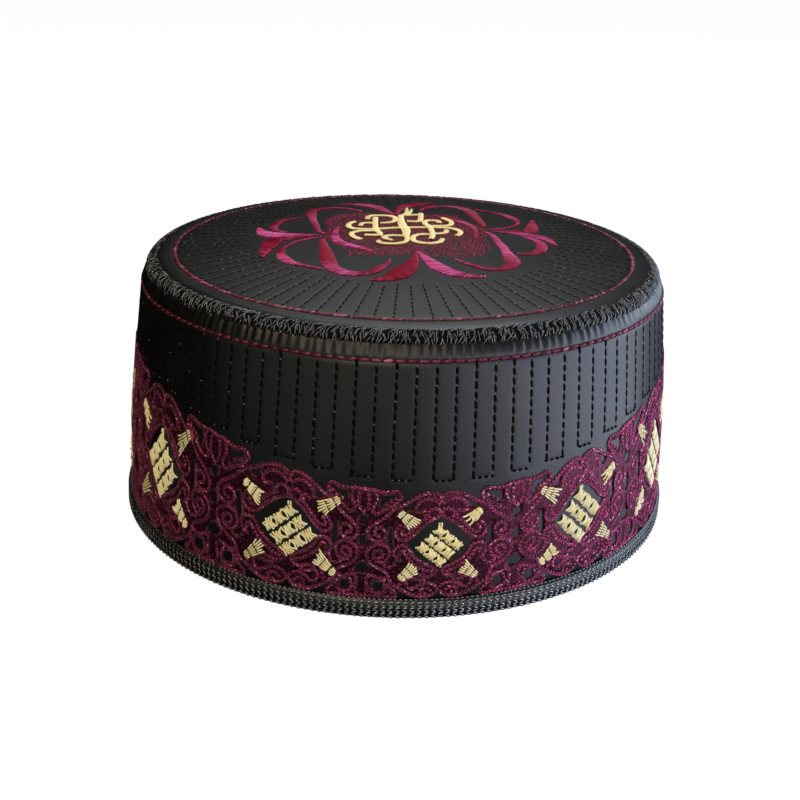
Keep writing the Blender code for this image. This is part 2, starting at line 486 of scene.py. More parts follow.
def stitch_tree():
    tree, given = new_tree(
        "rows_of_stitches",
        Float="Pitch, Length, Width, Height, Lift, Slant, Wobble, Sparkle",
        Int="Every, Start, Sides, Seed",
        Material="Thread",
    )
    node = partial(add, tree)

    def chance(low, high, salt):
        return node("FunctionNodeRandomValue", {"Min": low, "Max": high, "Seed": given["Seed"] + salt})

    curve = node("GeometryNodeMeshToCurve", {"Mesh": given["Geometry"]})
    row = node("GeometryNodeResampleCurve", {"Curve": curve, "Length": given["Pitch"]}, mode="LENGTH")
    outward = attribute(tree, "outward", "FLOAT_VECTOR")
    axes = {"Primary Axis": outward, "Secondary Axis": node("GeometryNodeInputTangent")}
    lying = node("FunctionNodeAxesToRotation", axes, primary_axis="Z", secondary_axis="X")
    turn = given["Slant"] * attribute(tree, "side") + given["Wobble"] * chance(-1.0, 1.0, 1)
    length = given["Length"] * chance(0.88, 1.12, 2) * 0.5
    width = given["Width"] * chance(0.9, 1.1, 3) * 0.5
    size = vector(tree, length, width, given["Height"] * 0.5)
    number = node("GeometryNodeInputIndex")
    chosen = number.math("MODULO", given["Every"]).math("COMPARE", given["Start"], 0.1)
    beads = lay_beads(tree, row, lying, turn, size, given["Sides"], chosen)
    rise = {"Translation": vector(tree, 0.0, 0.0, given["Lift"]), "Local Space": True}
    lifted = node("GeometryNodeTranslateInstances", {"Instances": beads, **rise})
    # A random share of the stitches is marked for a painted highlight.
    painted_glint = (given["Sparkle"] - chance(0.0, 1.0, 4)).ramp(0.0, 0.05)
    marked = node(
        "GeometryNodeStoreNamedAttribute",
        {"Geometry": lifted, "Name": "bright", "Value": attribute(tree, "bright") + painted_glint},
        data_type="FLOAT", domain="INSTANCE",
    )
    return end_tree(tree, marked, given["Thread"])


stitches = stitch_tree()
print("stitch tree nodes:", len(stitches.nodes))

# %% [markdown]
# The second tree makes whole threads: each guide chain becomes a thin tube, as thick as its
# points say, for satin stitch and for the overcast seam.

# %% Tree: threads
THREAD_SIDES = 5


def thread_tree():
    tree, given = new_tree("threads", Float="Radius", Material="Thread")
    node = partial(add, tree)
    curve = node("GeometryNodeMeshToCurve", {"Mesh": given["Geometry"]})
    radius = attribute(tree, "thick") * given["Radius"]
    sized = node("GeometryNodeSetCurveRadius", {"Curve": curve, "Radius": radius})
    section = node("GeometryNodeCurvePrimitiveCircle", {"Resolution": THREAD_SIDES, "Radius": 1.0})
    how = {"Profile Curve": section, "Scale": node("GeometryNodeInputRadius"), "Fill Caps": True}
    return end_tree(tree, node("GeometryNodeCurveToMesh", {"Curve": sized, **how}), given["Thread"])


threads = thread_tree()
print("thread tree nodes:", len(threads.nodes))

# %% [markdown]
# The finishes come next. The cloth is a smooth coated satin: nearly black, with a broad soft
# gleam, a faint unevenness and a very fine grain. The threads are rayon, which is shinier than
# cotton and has a coloured gleam: crimson rayon turns magenta where it catches the light. Besides,
# where a strand is marked in its guide, the thread's colour is painted on towards a paler colour
# given to its finish: these are painted highlights. The strands are kept flat, so that like the
# satin they mirror the window on the right but hardly the lamp on the left. All of the patterns
# read Object coordinates, so they stay put whatever the camera does.

# %% Finishes
GRAIN = 2600.0
ROUGHNESS_DRIFT = 0.12


def finish(name, dark, light, roughness, patch=180.0, grain_depth=0.05, painted_glint=None, **looks):
    """A material whose colour drifts between two tones, with a fine grain in its surface.

    Where a strand is marked with a painted highlight, its colour is painted on towards the paler colour given
    here."""
    made = new_material(name)
    node = partial(add, made.node_tree)

    def mix(share, low, high):
        return node("ShaderNodeMix", {"Factor": share, "A": low, "B": high}, data_type="RGBA")

    where = node("ShaderNodeTexCoord")["Object"]
    drift = node("ShaderNodeTexNoise", {"Vector": where, "Scale": patch, "Detail": 3.0})
    tone = mix(drift.ramp(0.3, 0.7), (*dark, 1), (*light, 1))
    if painted_glint:
        tone = mix(node("ShaderNodeAttribute", attribute_name="bright")["Fac"], tone, (*painted_glint, 1))
    rough = drift * ROUGHNESS_DRIFT + (roughness - ROUGHNESS_DRIFT / 2)
    fine = node("ShaderNodeTexNoise", {"Vector": where, "Scale": GRAIN, "Detail": 2.0})
    bump = node("ShaderNodeBump", {"Height": fine, "Strength": 0.5, "Distance": grain_depth * MM})
    for label, field in (("Base Color", tone), ("Roughness", rough), ("Normal", bump)):
        made.node_tree.links.new(field.socket, shader_of(made).inputs[label])
    set_looks(made, looks)
    return made


# A finish given a paler colour below paints it on marked strands: a painted highlight.
satin_cloth = finish(
    "satin_cloth", (0.0016, 0.0019, 0.0016), (0.0026, 0.0030, 0.0026), 0.41, 60.0, 0.03,
    Specular_Tint=(0.92, 0.95, 1.0, 1), Specular_IOR_Level=0.6,
)
quilting_thread = finish(
    "quilting_thread", (0.0010, 0.0010, 0.0012), (0.0022, 0.0022, 0.0025), 0.8, Specular_IOR_Level=0.08
)
grey_thread = finish(
    "grey_thread", (0.006, 0.006, 0.007), (0.020, 0.020, 0.022), 0.4, 900.0, painted_glint=(0.30, 0.31, 0.32)
)
crimson_thread = finish(
    "crimson_thread", (0.15, 0.009, 0.040), (0.54, 0.044, 0.185), 0.29, 400.0, painted_glint=(0.80, 0.27, 0.48),
    Metallic=0.95, IOR=2.0, Specular_Tint=(1.0, 0.50, 0.85, 1), Specular_IOR_Level=0.9,
    Coat_Weight=0.5, Coat_Roughness=0.4, Coat_IOR=1.6,
    Sheen_Weight=0.30, Sheen_Roughness=0.35, Sheen_Tint=(1.0, 0.45, 0.75, 1),
)
line_thread = finish(
    "line_thread", (0.06, 0.009, 0.017), (0.18, 0.028, 0.050), 0.40, 400.0, painted_glint=(0.36, 0.11, 0.18),
    Metallic=0.3, Specular_Tint=(1.0, 0.60, 0.80, 1), Specular_IOR_Level=0.8,
)
crimson_ground = finish(
    "crimson_ground", (0.014, 0.0010, 0.003), (0.10, 0.006, 0.028), 0.36, 900.0, 0.15,
    Metallic=0.85, Specular_Tint=(1.0, 0.55, 0.88, 1),
    Coat_Weight=0.3, Coat_Roughness=0.40, Coat_IOR=1.5,
    Sheen_Weight=0.25, Sheen_Roughness=0.35, Sheen_Tint=(1.0, 0.35, 0.65, 1),
)
field_thread = finish(
    "field_thread", (0.07, 0.002, 0.014), (0.72, 0.016, 0.13), 0.36, 1100.0,
    Specular_Tint=(1.0, 0.40, 0.75, 1), Specular_IOR_Level=0.8,
)
petal_thread = finish(
    "petal_thread", (0.11, 0.0012, 0.009), (0.34, 0.0036, 0.028), 0.36, 700.0, painted_glint=(0.76, 0.13, 0.54),
    Specular_Tint=(1.0, 0.36, 0.66, 1), Specular_IOR_Level=0.55,
)
gold_thread = finish(
    "gold_thread", (0.88, 0.72, 0.25), (1.0, 0.93, 0.52), 0.30, 600.0, painted_glint=(1.0, 1.0, 0.78),
    Specular_Tint=(1.0, 0.97, 0.8, 1), Specular_IOR_Level=1.0,
)
slate_thread = finish(
    "slate_thread", (0.0030, 0.0038, 0.0048), (0.0080, 0.0100, 0.0130), 0.40, 500.0,
    painted_glint=(0.15, 0.16, 0.17), Specular_Tint=(0.78, 0.88, 1.0, 1), Specular_IOR_Level=1.0, IOR=1.9,
)
braid_thread = finish(
    "braid_thread", (0.0022, 0.0027, 0.0033), (0.0060, 0.0075, 0.0095), 0.27, 500.0,
    Specular_Tint=(0.88, 0.94, 1.0, 1), Specular_IOR_Level=1.0, IOR=2.1,
)
dark_braid = finish(
    "dark_braid", (0.0016, 0.0018, 0.0021), (0.0026, 0.0029, 0.0034), 0.41, Specular_IOR_Level=0.6
)
print("finishes:", [m.name for m in bpy.data.materials])

# %% [markdown]
# The side, the crown, the seam's roll and the hem's tape are all turned from a section, so one
# tree makes all four: a grid whose columns go round the cap and whose rows follow the section.
# Where the cloth is quilted, the rows of stitches pull it in and it swells between them. The
# tree works out both from the angle, so the grooves lie exactly under the stitches.

# %% Tree: turned, quilted cloth
GROOVE_SHARPNESS = 16.0
BAR_REACH = 0.9 * MM
FADE = 2.5 * MM
LINE_REACH = 1.3 * MM
UNEVEN_SCALE = 9.0
CREASE_SCALE = 48.0
FOLD_STRAY = 7.0
CREASE_SHARE = 0.8
SAME_PLACE = 0.002 * MM


def turned_cloth_tree():
    tree, given = new_tree(
        "turned_cloth",
        Int="Columns, Rows, Lines",
        Float="First Line, Depth, Swell, Foot, Foot Rise, Foot Front, Head, Bars, Line Depth, Gather Depth",
        Material="Cloth",
    )
    node = partial(add, tree)
    sides = {"Size X": 1.0, "Size Y": 1.0, "Vertices X": given["Columns"], "Vertices Y": given["Rows"]}
    grid = node("GeometryNodeMeshGrid", sides)
    place = node("ShaderNodeSeparateXYZ", {0: node("GeometryNodeInputPosition")})
    angle = (place["X"] + 0.5) * math.tau + given["First Line"]
    row = ((place["Y"] + 0.5) * (given["Rows"] - 1.0)).math("ROUND")

    def of_section(field, kind="FLOAT"):
        wanted = {"Geometry": given["Geometry"], "Value": field, "Index": row}
        return node("GeometryNodeSampleIndex", wanted, data_type=kind, domain="POINT")

    def parts_of_section(field):
        return node("ShaderNodeSeparateXYZ", {0: of_section(field, "FLOAT_VECTOR")})

    def close_to(height, reach):
        """1 at this height of the section, and 0 from this far away."""
        return ((along - height).math("ABSOLUTE") * -1.0).ramp(-reach, 0.0)

    point = parts_of_section(node("GeometryNodeInputPosition"))
    outward = parts_of_section(attribute(tree, "outward", "FLOAT_VECTOR"))
    along = of_section(attribute(tree, "along"))
    quilted = of_section(attribute(tree, "quilted"))
    gathered = of_section(attribute(tree, "gathered"))
    turn = angle - given["First Line"]
    on_line = ((turn * given["Lines"]).math("COSINE") * 0.5 + 0.5).math("POWER", GROOVE_SHARPNESS)
    side = (angle - given["Foot Front"]).math("SINE")
    foot = given["Foot"] + given["Foot Rise"] * side * side
    zone = along.ramp(foot - BAR_REACH, foot) * (given["Head"] - along).ramp(0.0, FADE) * quilted
    paired = (turn * given["Lines"] * 0.5).math("SINE").ramp(0.0, 0.3) * given["Bars"]
    groove = (on_line * zone).math("MAXIMUM", close_to(foot, BAR_REACH) * paired * quilted)
    swelling = zone * given["Swell"] * (groove * -1.0 + 1.0)
    line = close_to(given["Head"], LINE_REACH) * quilted
    circle = vector(tree, angle.math("SINE"), angle.math("COSINE"), 0.0)
    uneven = node("ShaderNodeTexNoise", {"Vector": circle, "Scale": UNEVEN_SCALE, "Detail": 2.0})
    creases = node("ShaderNodeTexNoise", {"Vector": circle, "Scale": CREASE_SCALE, "Detail": 1.0})
    folds = (turn * given["Lines"] * 2.0 + uneven * FOLD_STRAY).math("COSINE") * 0.5 + 0.5
    gather = folds * uneven.ramp(0.25, 0.7) + creases.ramp(0.45, 0.75) * CREASE_SHARE
    gather = gather * gathered * given["Gather Depth"]
    shift = swelling - groove * given["Depth"] - line * given["Line Depth"] - gather
    radius = point["X"] + shift * outward["X"]
    height = point["Z"] + shift * outward["Z"]
    spot = vector(tree, radius * angle.math("SINE"), radius * angle.math("COSINE") * -1.0, height)
    placed = node("GeometryNodeSetPosition", {"Geometry": grid, "Position": spot})
    closed = node("GeometryNodeMergeByDistance", {"Geometry": placed, "Distance": SAME_PLACE})
    return end_tree(tree, closed, given["Cloth"])


turned_cloth = turned_cloth_tree()
print("turned cloth tree nodes:", len(turned_cloth.nodes))

# %% [markdown]
# The side of the cap is doubled cloth, 2 mm thick, drawn as a closed section: up the outside, over
# the shoulder to the seam, and back down the inside. Ninety-eight rows of stitches go round it, in
# pairs that are joined at the foot, just above the embroidered band. The band climbs towards the
# sides of the cap, and the feet of the rows climb with it.

# %% Side wall cloth
WALL_LINES = 98
COLUMNS_PER_LINE = 10
FIRST_LINE = math.radians(6.85)
LINE_DEPTH = 0.08 * MM
QUILT = {"first_line": FIRST_LINE, "depth": LINE_DEPTH, "swell": 0.015 * MM, "line_depth": 0.25 * MM}
GATHER_DEPTH = 0.36 * MM
QUILT_FOOT = 42.3 * MM
QUILT_FOOT_RISE = 16.1 * MM
BAND_FRONT = math.radians(8.15)
SEAM_GAP = 0.25 * MM


def turn_piece(name, rows, columns, cloth, slot, node, **given):
    """A piece turned from a closed section, in the place of a node.

    Rows are (point, normal, along, quilted, gathered), with point and normal as (radius, height)."""
    rows = [*rows, rows[0]]
    mesh = bpy.data.meshes.new(name + "_section")
    mesh.from_pydata([(p[0], 0, p[1]) for p, *_ in rows], [(i, i + 1) for i in range(len(rows) - 1)], [])
    outward = [value for _, normal, *_ in rows for value in (normal[0], 0, normal[1])]
    labels = enumerate(("along", "quilted", "gathered"), 2)
    mark_points(mesh, outward, {label: [float(row[place]) for row in rows] for place, label in labels})
    given |= {"columns": columns + 1, "rows": len(rows), "cloth": cloth}
    return grow(name, mesh, turned_cloth, slot, [node], **given)


def spaced(start, end, step):
    """Values from start to end, about a step apart, both ends included."""
    count = max(1, round(abs(end - start) / step))
    return [start + (end - start) * i / count for i in range(count + 1)]


def smooth(value):
    value = min(max(value, 0.0), 1.0)
    return value * value * (3 - 2 * value)


def marked_row(pair, axis, quilted=0, gathered=0):
    """A row of a section. How far along it lies is its radius, axis 0, or its height, axis 1."""
    return (*pair, pair[0][axis], quilted, gathered)


def side_rows():
    heights = spaced(1.3 * MM, 40 * MM, 6.5 * MM)[:-1] + spaced(40 * MM, 60.6 * MM, 0.6 * MM)[:-1]
    heights += spaced(60.6 * MM, 73 * MM, 3 * MM)[:-1] + spaced(73 * MM, WALL_LINE_HEIGHT, 0.5 * MM)[:-1]
    for height in heights:
        yield marked_row(on_section(wall_curve, height, 0.0, LENGTH_STEP), 1, 1)
    edge = SEAM_PLACE - SEAM_GAP / (10 * MM)
    for place in spaced(0.0, edge, 0.06):
        yield marked_row(on_section(shoulder, place), 1, 1, smooth(place / 0.15))
    for place in spaced(edge, 0.0, 0.2):
        yield marked_row(on_section(shoulder, place, -CLOTH), 1)
    for height in spaced(WALL_LINE_HEIGHT, 1.3 * MM, 19 * MM)[1:]:
        yield marked_row(on_section(wall_curve, height, -CLOTH, LENGTH_STEP), 1)


turn_piece(
    "wall_cloth", list(side_rows()), WALL_LINES * COLUMNS_PER_LINE, satin_cloth, "charcoal_cloth",
    "side_wall", lines=WALL_LINES, foot=QUILT_FOOT, foot_rise=QUILT_FOOT_RISE, foot_front=BAND_FRONT,
    head=WALL_LINE_HEIGHT, bars=1.0, gather_depth=GATHER_DEPTH, **QUILT,
)

# %% [markdown]
# The crown is the same cloth, quilted by eighty-four rows that run in from the crimson ring and
# stop short of the rosette. Its section runs from the seam over the dome to the middle, and back
# underneath.

# %% Crown cloth
CROWN_LINES = 84
CROWN_QUILT_START = 50.7 * MM


def crown_rows():
    edge = SEAM_PLACE + SEAM_GAP / (10 * MM)
    for place in spaced(edge, 1.0, 0.06)[:-1]:
        yield marked_row(on_section(shoulder, place), 0, 1)
    radii = spaced(SHOULDER_TOP_RADIUS, 71 * MM, 0.75 * MM)[:-1] + spaced(71 * MM, 55 * MM, 4 * MM)[:-1]
    radii += spaced(55 * MM, 48 * MM, 0.8 * MM)[:-1] + spaced(48 * MM, 0.0, 8 * MM)
    for radius in radii:
        yield marked_row(on_section(crown_curve, -radius, 0.0, LENGTH_STEP), 0, 1)
    for radius in spaced(0.0, 76 * MM, 19 * MM):
        yield marked_row(((radius, crown_height(radius) - CLOTH), (0, -1)), 0)
    for place in spaced(1.0, edge, 0.2)[1:]:
        yield marked_row(on_section(shoulder, place, -CLOTH), 0)


turn_piece(
    "crown_cloth", list(crown_rows()), CROWN_LINES * COLUMNS_PER_LINE, satin_cloth, "charcoal_cloth",
    "crown_top", lines=CROWN_LINES, foot=CROWN_QUILT_START, head=CROWN_RING_RADIUS, **QUILT,
)

# %% [markdown]
# The quilting stitches are black on near-black cloth, so they show as a row of short dark gleams
# with a small grey speck between them, where the thread dives through the cloth; a share of the
# specks is painted paler, as painted highlights. Each pair of rows on the side is one line of
# sewing: down, across at the foot, and up again.

# %% Quilting stitches
STITCH_PITCH = 2.77 * MM
BAR_PITCH = 1.83 * MM
# length, width and height of a stitch, in millimetres
STITCH = (2.7, 1.12, 0.55)
BAR_STITCH = (1.7, 1.0, 0.55)
CROWN_STITCH = (2.4, 0.62, 0.42)
SPECK = (0.42, 0.34, 0.34)
LINE_PITCH = math.tau / WALL_LINES
SUNK = -LINE_DEPTH * 0.7
ROW_END_GAP = 1.2 * MM
GUIDE_STEP = 2.4 * MM


def wall_quilting():
    """The upright rows of the side, and the short bars that join two rows at the foot."""
    rows, bars = [], []
    for pair in range(WALL_LINES // 2):
        left = FIRST_LINE + 2 * pair * LINE_PITCH
        foot = QUILT_FOOT + QUILT_FOOT_RISE * math.sin(left + LINE_PITCH / 2 - BAND_FRONT) ** 2
        heights = spaced(foot + ROW_END_GAP, WALL_LINE_HEIGHT - ROW_END_GAP, GUIDE_STEP)
        for angle in (left, left + LINE_PITCH):
            rows.append([on_wall(angle, height, SUNK) for height in heights])
        bars.append([on_wall(left + LINE_PITCH * share, foot, SUNK) for share in (0, 0.25, 0.5, 0.75, 1)])
    return rows, bars


def crown_quilting():
    radii = spaced(CROWN_RING_RADIUS - ROW_END_GAP, CROWN_QUILT_START, GUIDE_STEP)
    angles = [FIRST_LINE + line * math.tau / CROWN_LINES for line in range(CROWN_LINES)]
    return [[on_crown(angle, radius, SUNK) for radius in radii] for angle in angles]


def stitch_size(size):
    return {label: value * MM for label, value in zip(("length", "width", "height"), size)}


def sew(name, chains, thread, pitch, size, slot="black_thread", **given):
    """Rows of stitches along these chains. The rest sets the tree's inputs of those names."""
    usual = {"every": 1, "sides": BEAD_SIDES, "wobble": 0.08, "seed": 1}
    given = {**usual, **stitch_size(size), **given}
    return grow(name, guide_mesh(name, chains), stitches, slot, pitch=pitch, thread=thread, **given)


wall_lines, wall_bars = wall_quilting()
crown_lines = crown_quilting()
for name, lines, pitch, size, more in (
    ("wall_stitches", wall_lines, STITCH_PITCH, STITCH, {"slant": 0.10}),
    ("bar_stitches", wall_bars, BAR_PITCH, BAR_STITCH, {"start": 1, "seed": 2}),
    ("crown_stitches", crown_lines, STITCH_PITCH, CROWN_STITCH, {"slant": 0.10, "seed": 3, "sides": 4}),
):
    sew(name, lines, quilting_thread, pitch / 2, size, every=2, **more)
# The fifth column is the share of specks painted paler: painted highlights.
for name, lines, pitch, start, share, seed in (
    ("wall_specks", wall_lines, STITCH_PITCH, 1, 0.2, 4),
    ("bar_specks", wall_bars, BAR_PITCH, 0, 0.7, 5),
    ("crown_specks", crown_lines, STITCH_PITCH, 1, 0.2, 6),
):
    more = {"every": 2, "start": start, "seed": seed, "sides": 4, "sparkle": share}
    sew(name, lines, grey_thread, pitch / 2, SPECK, **more)
print("rows on the side:", len(wall_lines), "and on the crown:", len(crown_lines))

# %% [markdown]
# Two crimson lines edge the seam: a stout one at the top of the side and a finer one round the
# crown. Each is a row of long shining stitches on a bed of short crosswise ones. The last column
# is the share of stitches whose colour is painted paler pink: painted highlights.

# %% Crimson lines
RING_STEPS = 360
WALL_LINE_SINK = -0.05 * MM


def ring_chain(place):
    """A closed ring of guide points: place(angle) gives a point and its outward direction."""
    return [place(math.tau * i / RING_STEPS) for i in range(RING_STEPS + 1)]


wall_ring = ring_chain(lambda angle: on_wall(angle, WALL_LINE_HEIGHT, WALL_LINE_SINK))
crown_ring = ring_chain(lambda angle: on_crown(angle, CROWN_RING_RADIUS, 0.0))
for name, ring, thread, pitch, size, lift, slant, wobble, seed, sides, share in (
    ("wall_line_bed", wall_ring, crimson_ground, 0.8, (1.8, 0.6, 0.5), 0.0, 1.05, 0.15, 5, 4, 0.0),
    ("wall_line", wall_ring, line_thread, 3.25, (3.1, 1.25, 0.8), 0.15, 0.16, 0.10, 6, BEAD_SIDES, 0.12),
    ("crown_line_bed", crown_ring, line_thread, 0.9, (2.4, 0.5, 0.4), 0.15, 0.8, 0.25, 17, 4, 0.2),
    ("crown_line", crown_ring, line_thread, 2.3, (2.2, 1.15, 0.65), 0.25, 0.3, 0.15, 7, BEAD_SIDES, 0.35),
):
    more = {"slant": slant, "wobble": wobble, "seed": seed, "sides": sides, "sparkle": share}
    sew(name, [ring], thread, pitch * MM, size, lift=lift * MM, **more)

# %% [markdown]
# The crown seam is overcast: black thread goes over the join again and again. Under it lies a
# low roll. Over the roll go four rounds of strands: long ones slanting one way, shorter ones
# crossing them, loops along the lower edge and hooks along the upper edge. A share of the strands
# in each round is painted paler, as painted highlights; the hooks have the largest share, which
# makes them lighter. Small grey tips along both edges show where the needle goes in, and a share
# of them is painted paler too, as painted highlights.

# %% Crown seam
SEAM_WIDTH = 4.4 * MM
SEAM_RISE = 0.7 * MM
SEAM_STEP = 0.02
ROLL_SHARE = 0.8
ROLL_LIFT = 0.1 * MM
ROLL_UNDERSIDE = 0.05 * MM
SHOULDER_LENGTH = 11.3 * MM
ROUND_COLUMNS = 392


def seam_place(across):
    """Place on the shoulder for a distance across the seam, from -0.5 below to 0.5 above."""
    return SEAM_PLACE + across * SEAM_WIDTH / SHOULDER_LENGTH


def seam_rise(across):
    return SEAM_RISE * (1 - (2 * across) ** 2)


def seam_rows():
    for across in spaced(-0.5, 0.5, 0.1):
        lift = ROLL_LIFT + seam_rise(across) * ROLL_SHARE
        yield (*on_section(shoulder, seam_place(across), lift, SEAM_STEP), 0, 0, 0)
    for across in spaced(0.5, -0.5, 0.25):
        yield (*on_section(shoulder, seam_place(across), ROLL_UNDERSIDE, SEAM_STEP), 0, 0, 0)


def overcast(loops, slant, low, high, lift, rise, jitter, painted_fleck_share, chance):
    """Strands over the roll from low to high across it, each slanting by about this many loops."""
    chains = []
    pitch = math.tau / loops
    for loop in range(loops):
        start = loop * pitch + chance.uniform(-jitter, jitter) * pitch
        lean_by = slant * pitch * chance.uniform(-0.4, 1.6)
        ends = (low + chance.uniform(-0.1, 0.08), high + chance.uniform(-0.12, 0.06))
        # Some strands are painted paler: painted highlights.
        bright = chance.uniform(0.3, 1.0) if chance.random() < painted_fleck_share else 0.0
        chain = []
        for share in (0.0, 0.2, 0.5, 0.8, 1.0):
            across = ends[0] + (ends[1] - ends[0]) * share
            height = lift + seam_rise(across) * ROLL_SHARE + rise * math.sin(math.pi * share)
            spot = on_shoulder(start + lean_by * share, seam_place(across), height)
            chain.append((*spot, 0.75 + 0.25 * math.sin(math.pi * share), bright))
        chains.append(chain)
    return chains


def spin(name, chains, thread, radius, slot=None):
    """Threads along these chains."""
    return grow(name, guide_mesh(name, chains), threads, slot, radius=radius, thread=thread)


seam_chance = random.Random(7)
turn_piece(
    "seam_roll", list(seam_rows()), ROUND_COLUMNS, quilting_thread, "black_thread", "crown_seam", lines=1
)
for name, loops, slant, low, high, lift, rise, jitter, painted_fleck_share, radius in (
    ("seam_strands", 430, 1.1, -0.14, 0.42, 0.02, 0.16, 0.9, 0.02, 0.15),
    ("seam_cross_strands", 400, -0.9, -0.30, 0.14, 0.06, 0.16, 0.9, 0.05, 0.14),
    ("seam_loops", 440, 1.0, -0.54, -0.14, 0.06, 0.26, 0.3, 0.10, 0.16),
    ("seam_hooks", 330, 1.6, 0.30, 0.58, 0.10, 0.12, 0.4, 0.35, 0.13),
):
    chains = overcast(loops, slant, low, high, lift * MM, rise * MM, jitter, painted_fleck_share, seam_chance)
    spin(name, chains, slate_thread, radius * MM, "black_thread")
for side, name in ((1, "seam_upper_tips"), (-1, "seam_lower_tips")):
    edge = ring_chain(lambda angle: on_shoulder(angle, seam_place(0.5 * side), 0.15 * MM))
    more = {"slant": 0.95, "wobble": 0.5, "seed": 8 + side, "sides": 4, "sparkle": 0.16}
    sew(name, [edge], grey_thread, 1.55 * MM, (1.0, 0.36, 0.36), **more)

# %% [markdown]
# A braid binds the lower edge. Its tape is turned like the cloth. Three rows of flat V stitches go
# round its outside, with a row of small stitches along the top.

# %% Hem braid
BRAID_OUTER = 1.30 * MM
BRAID_ROWS = (1.0 * MM, 2.75 * MM, 4.5 * MM)
BRAID_PITCH = 2.1 * MM
V_LEG = (1.9, 0.84, 0.26)
V_HALF = 0.42 * MM
V_LIFT = 0.07 * MM
DOT_HEIGHT = 5.75 * MM
DOT_INSET = 0.55 * MM
DOT_PITCH = 1.5 * MM
DOT = (1.2, 0.6, 0.5)
TAPE = [
    # how far out from the wall, in metres, and the height, in millimetres
    (0.8 * MM, 5.7), (0.1 * MM, 5.7), (0.1 * MM, 1.1), (-CLOTH - 0.05 * MM, 1.1), (-CLOTH - 0.05 * MM, 5.7),
    (-CLOTH - 0.9 * MM, 5.7), (-CLOTH - 1.3 * MM, 5.3), (-CLOTH - 1.3 * MM, 0.5), (-CLOTH - 0.9 * MM, 0.0),
    (BRAID_OUTER - 0.4 * MM, 0.0), (BRAID_OUTER, 0.6), (BRAID_OUTER, 2.5), (BRAID_OUTER, 5.1),
]

rows = [((wall_radius(height * MM) + aside, height * MM), (1, 0), 0, 0, 0) for aside, height in TAPE]
turn_piece("hem_tape", rows, ROUND_COLUMNS, dark_braid, "slate_braid", "hem_binding", lines=1)
for side, name in ((-1, "braid_lower_legs"), (1, "braid_upper_legs")):
    legs = [
        ring_chain(lambda angle: on_wall(angle, height + side * V_HALF, BRAID_OUTER + V_LIFT))
        for height in BRAID_ROWS
    ]
    more = {"slant": side * 0.5, "wobble": 0.12, "seed": 9 + side}
    sew(name, legs, braid_thread, BRAID_PITCH, V_LEG, "slate_braid", **more)
dots = [ring_chain(lambda angle: on_wall(angle, DOT_HEIGHT, BRAID_OUTER - DOT_INSET))]
sew("braid_dots", dots, braid_thread, DOT_PITCH, DOT, "slate_braid", wobble=0.3, seed=12)
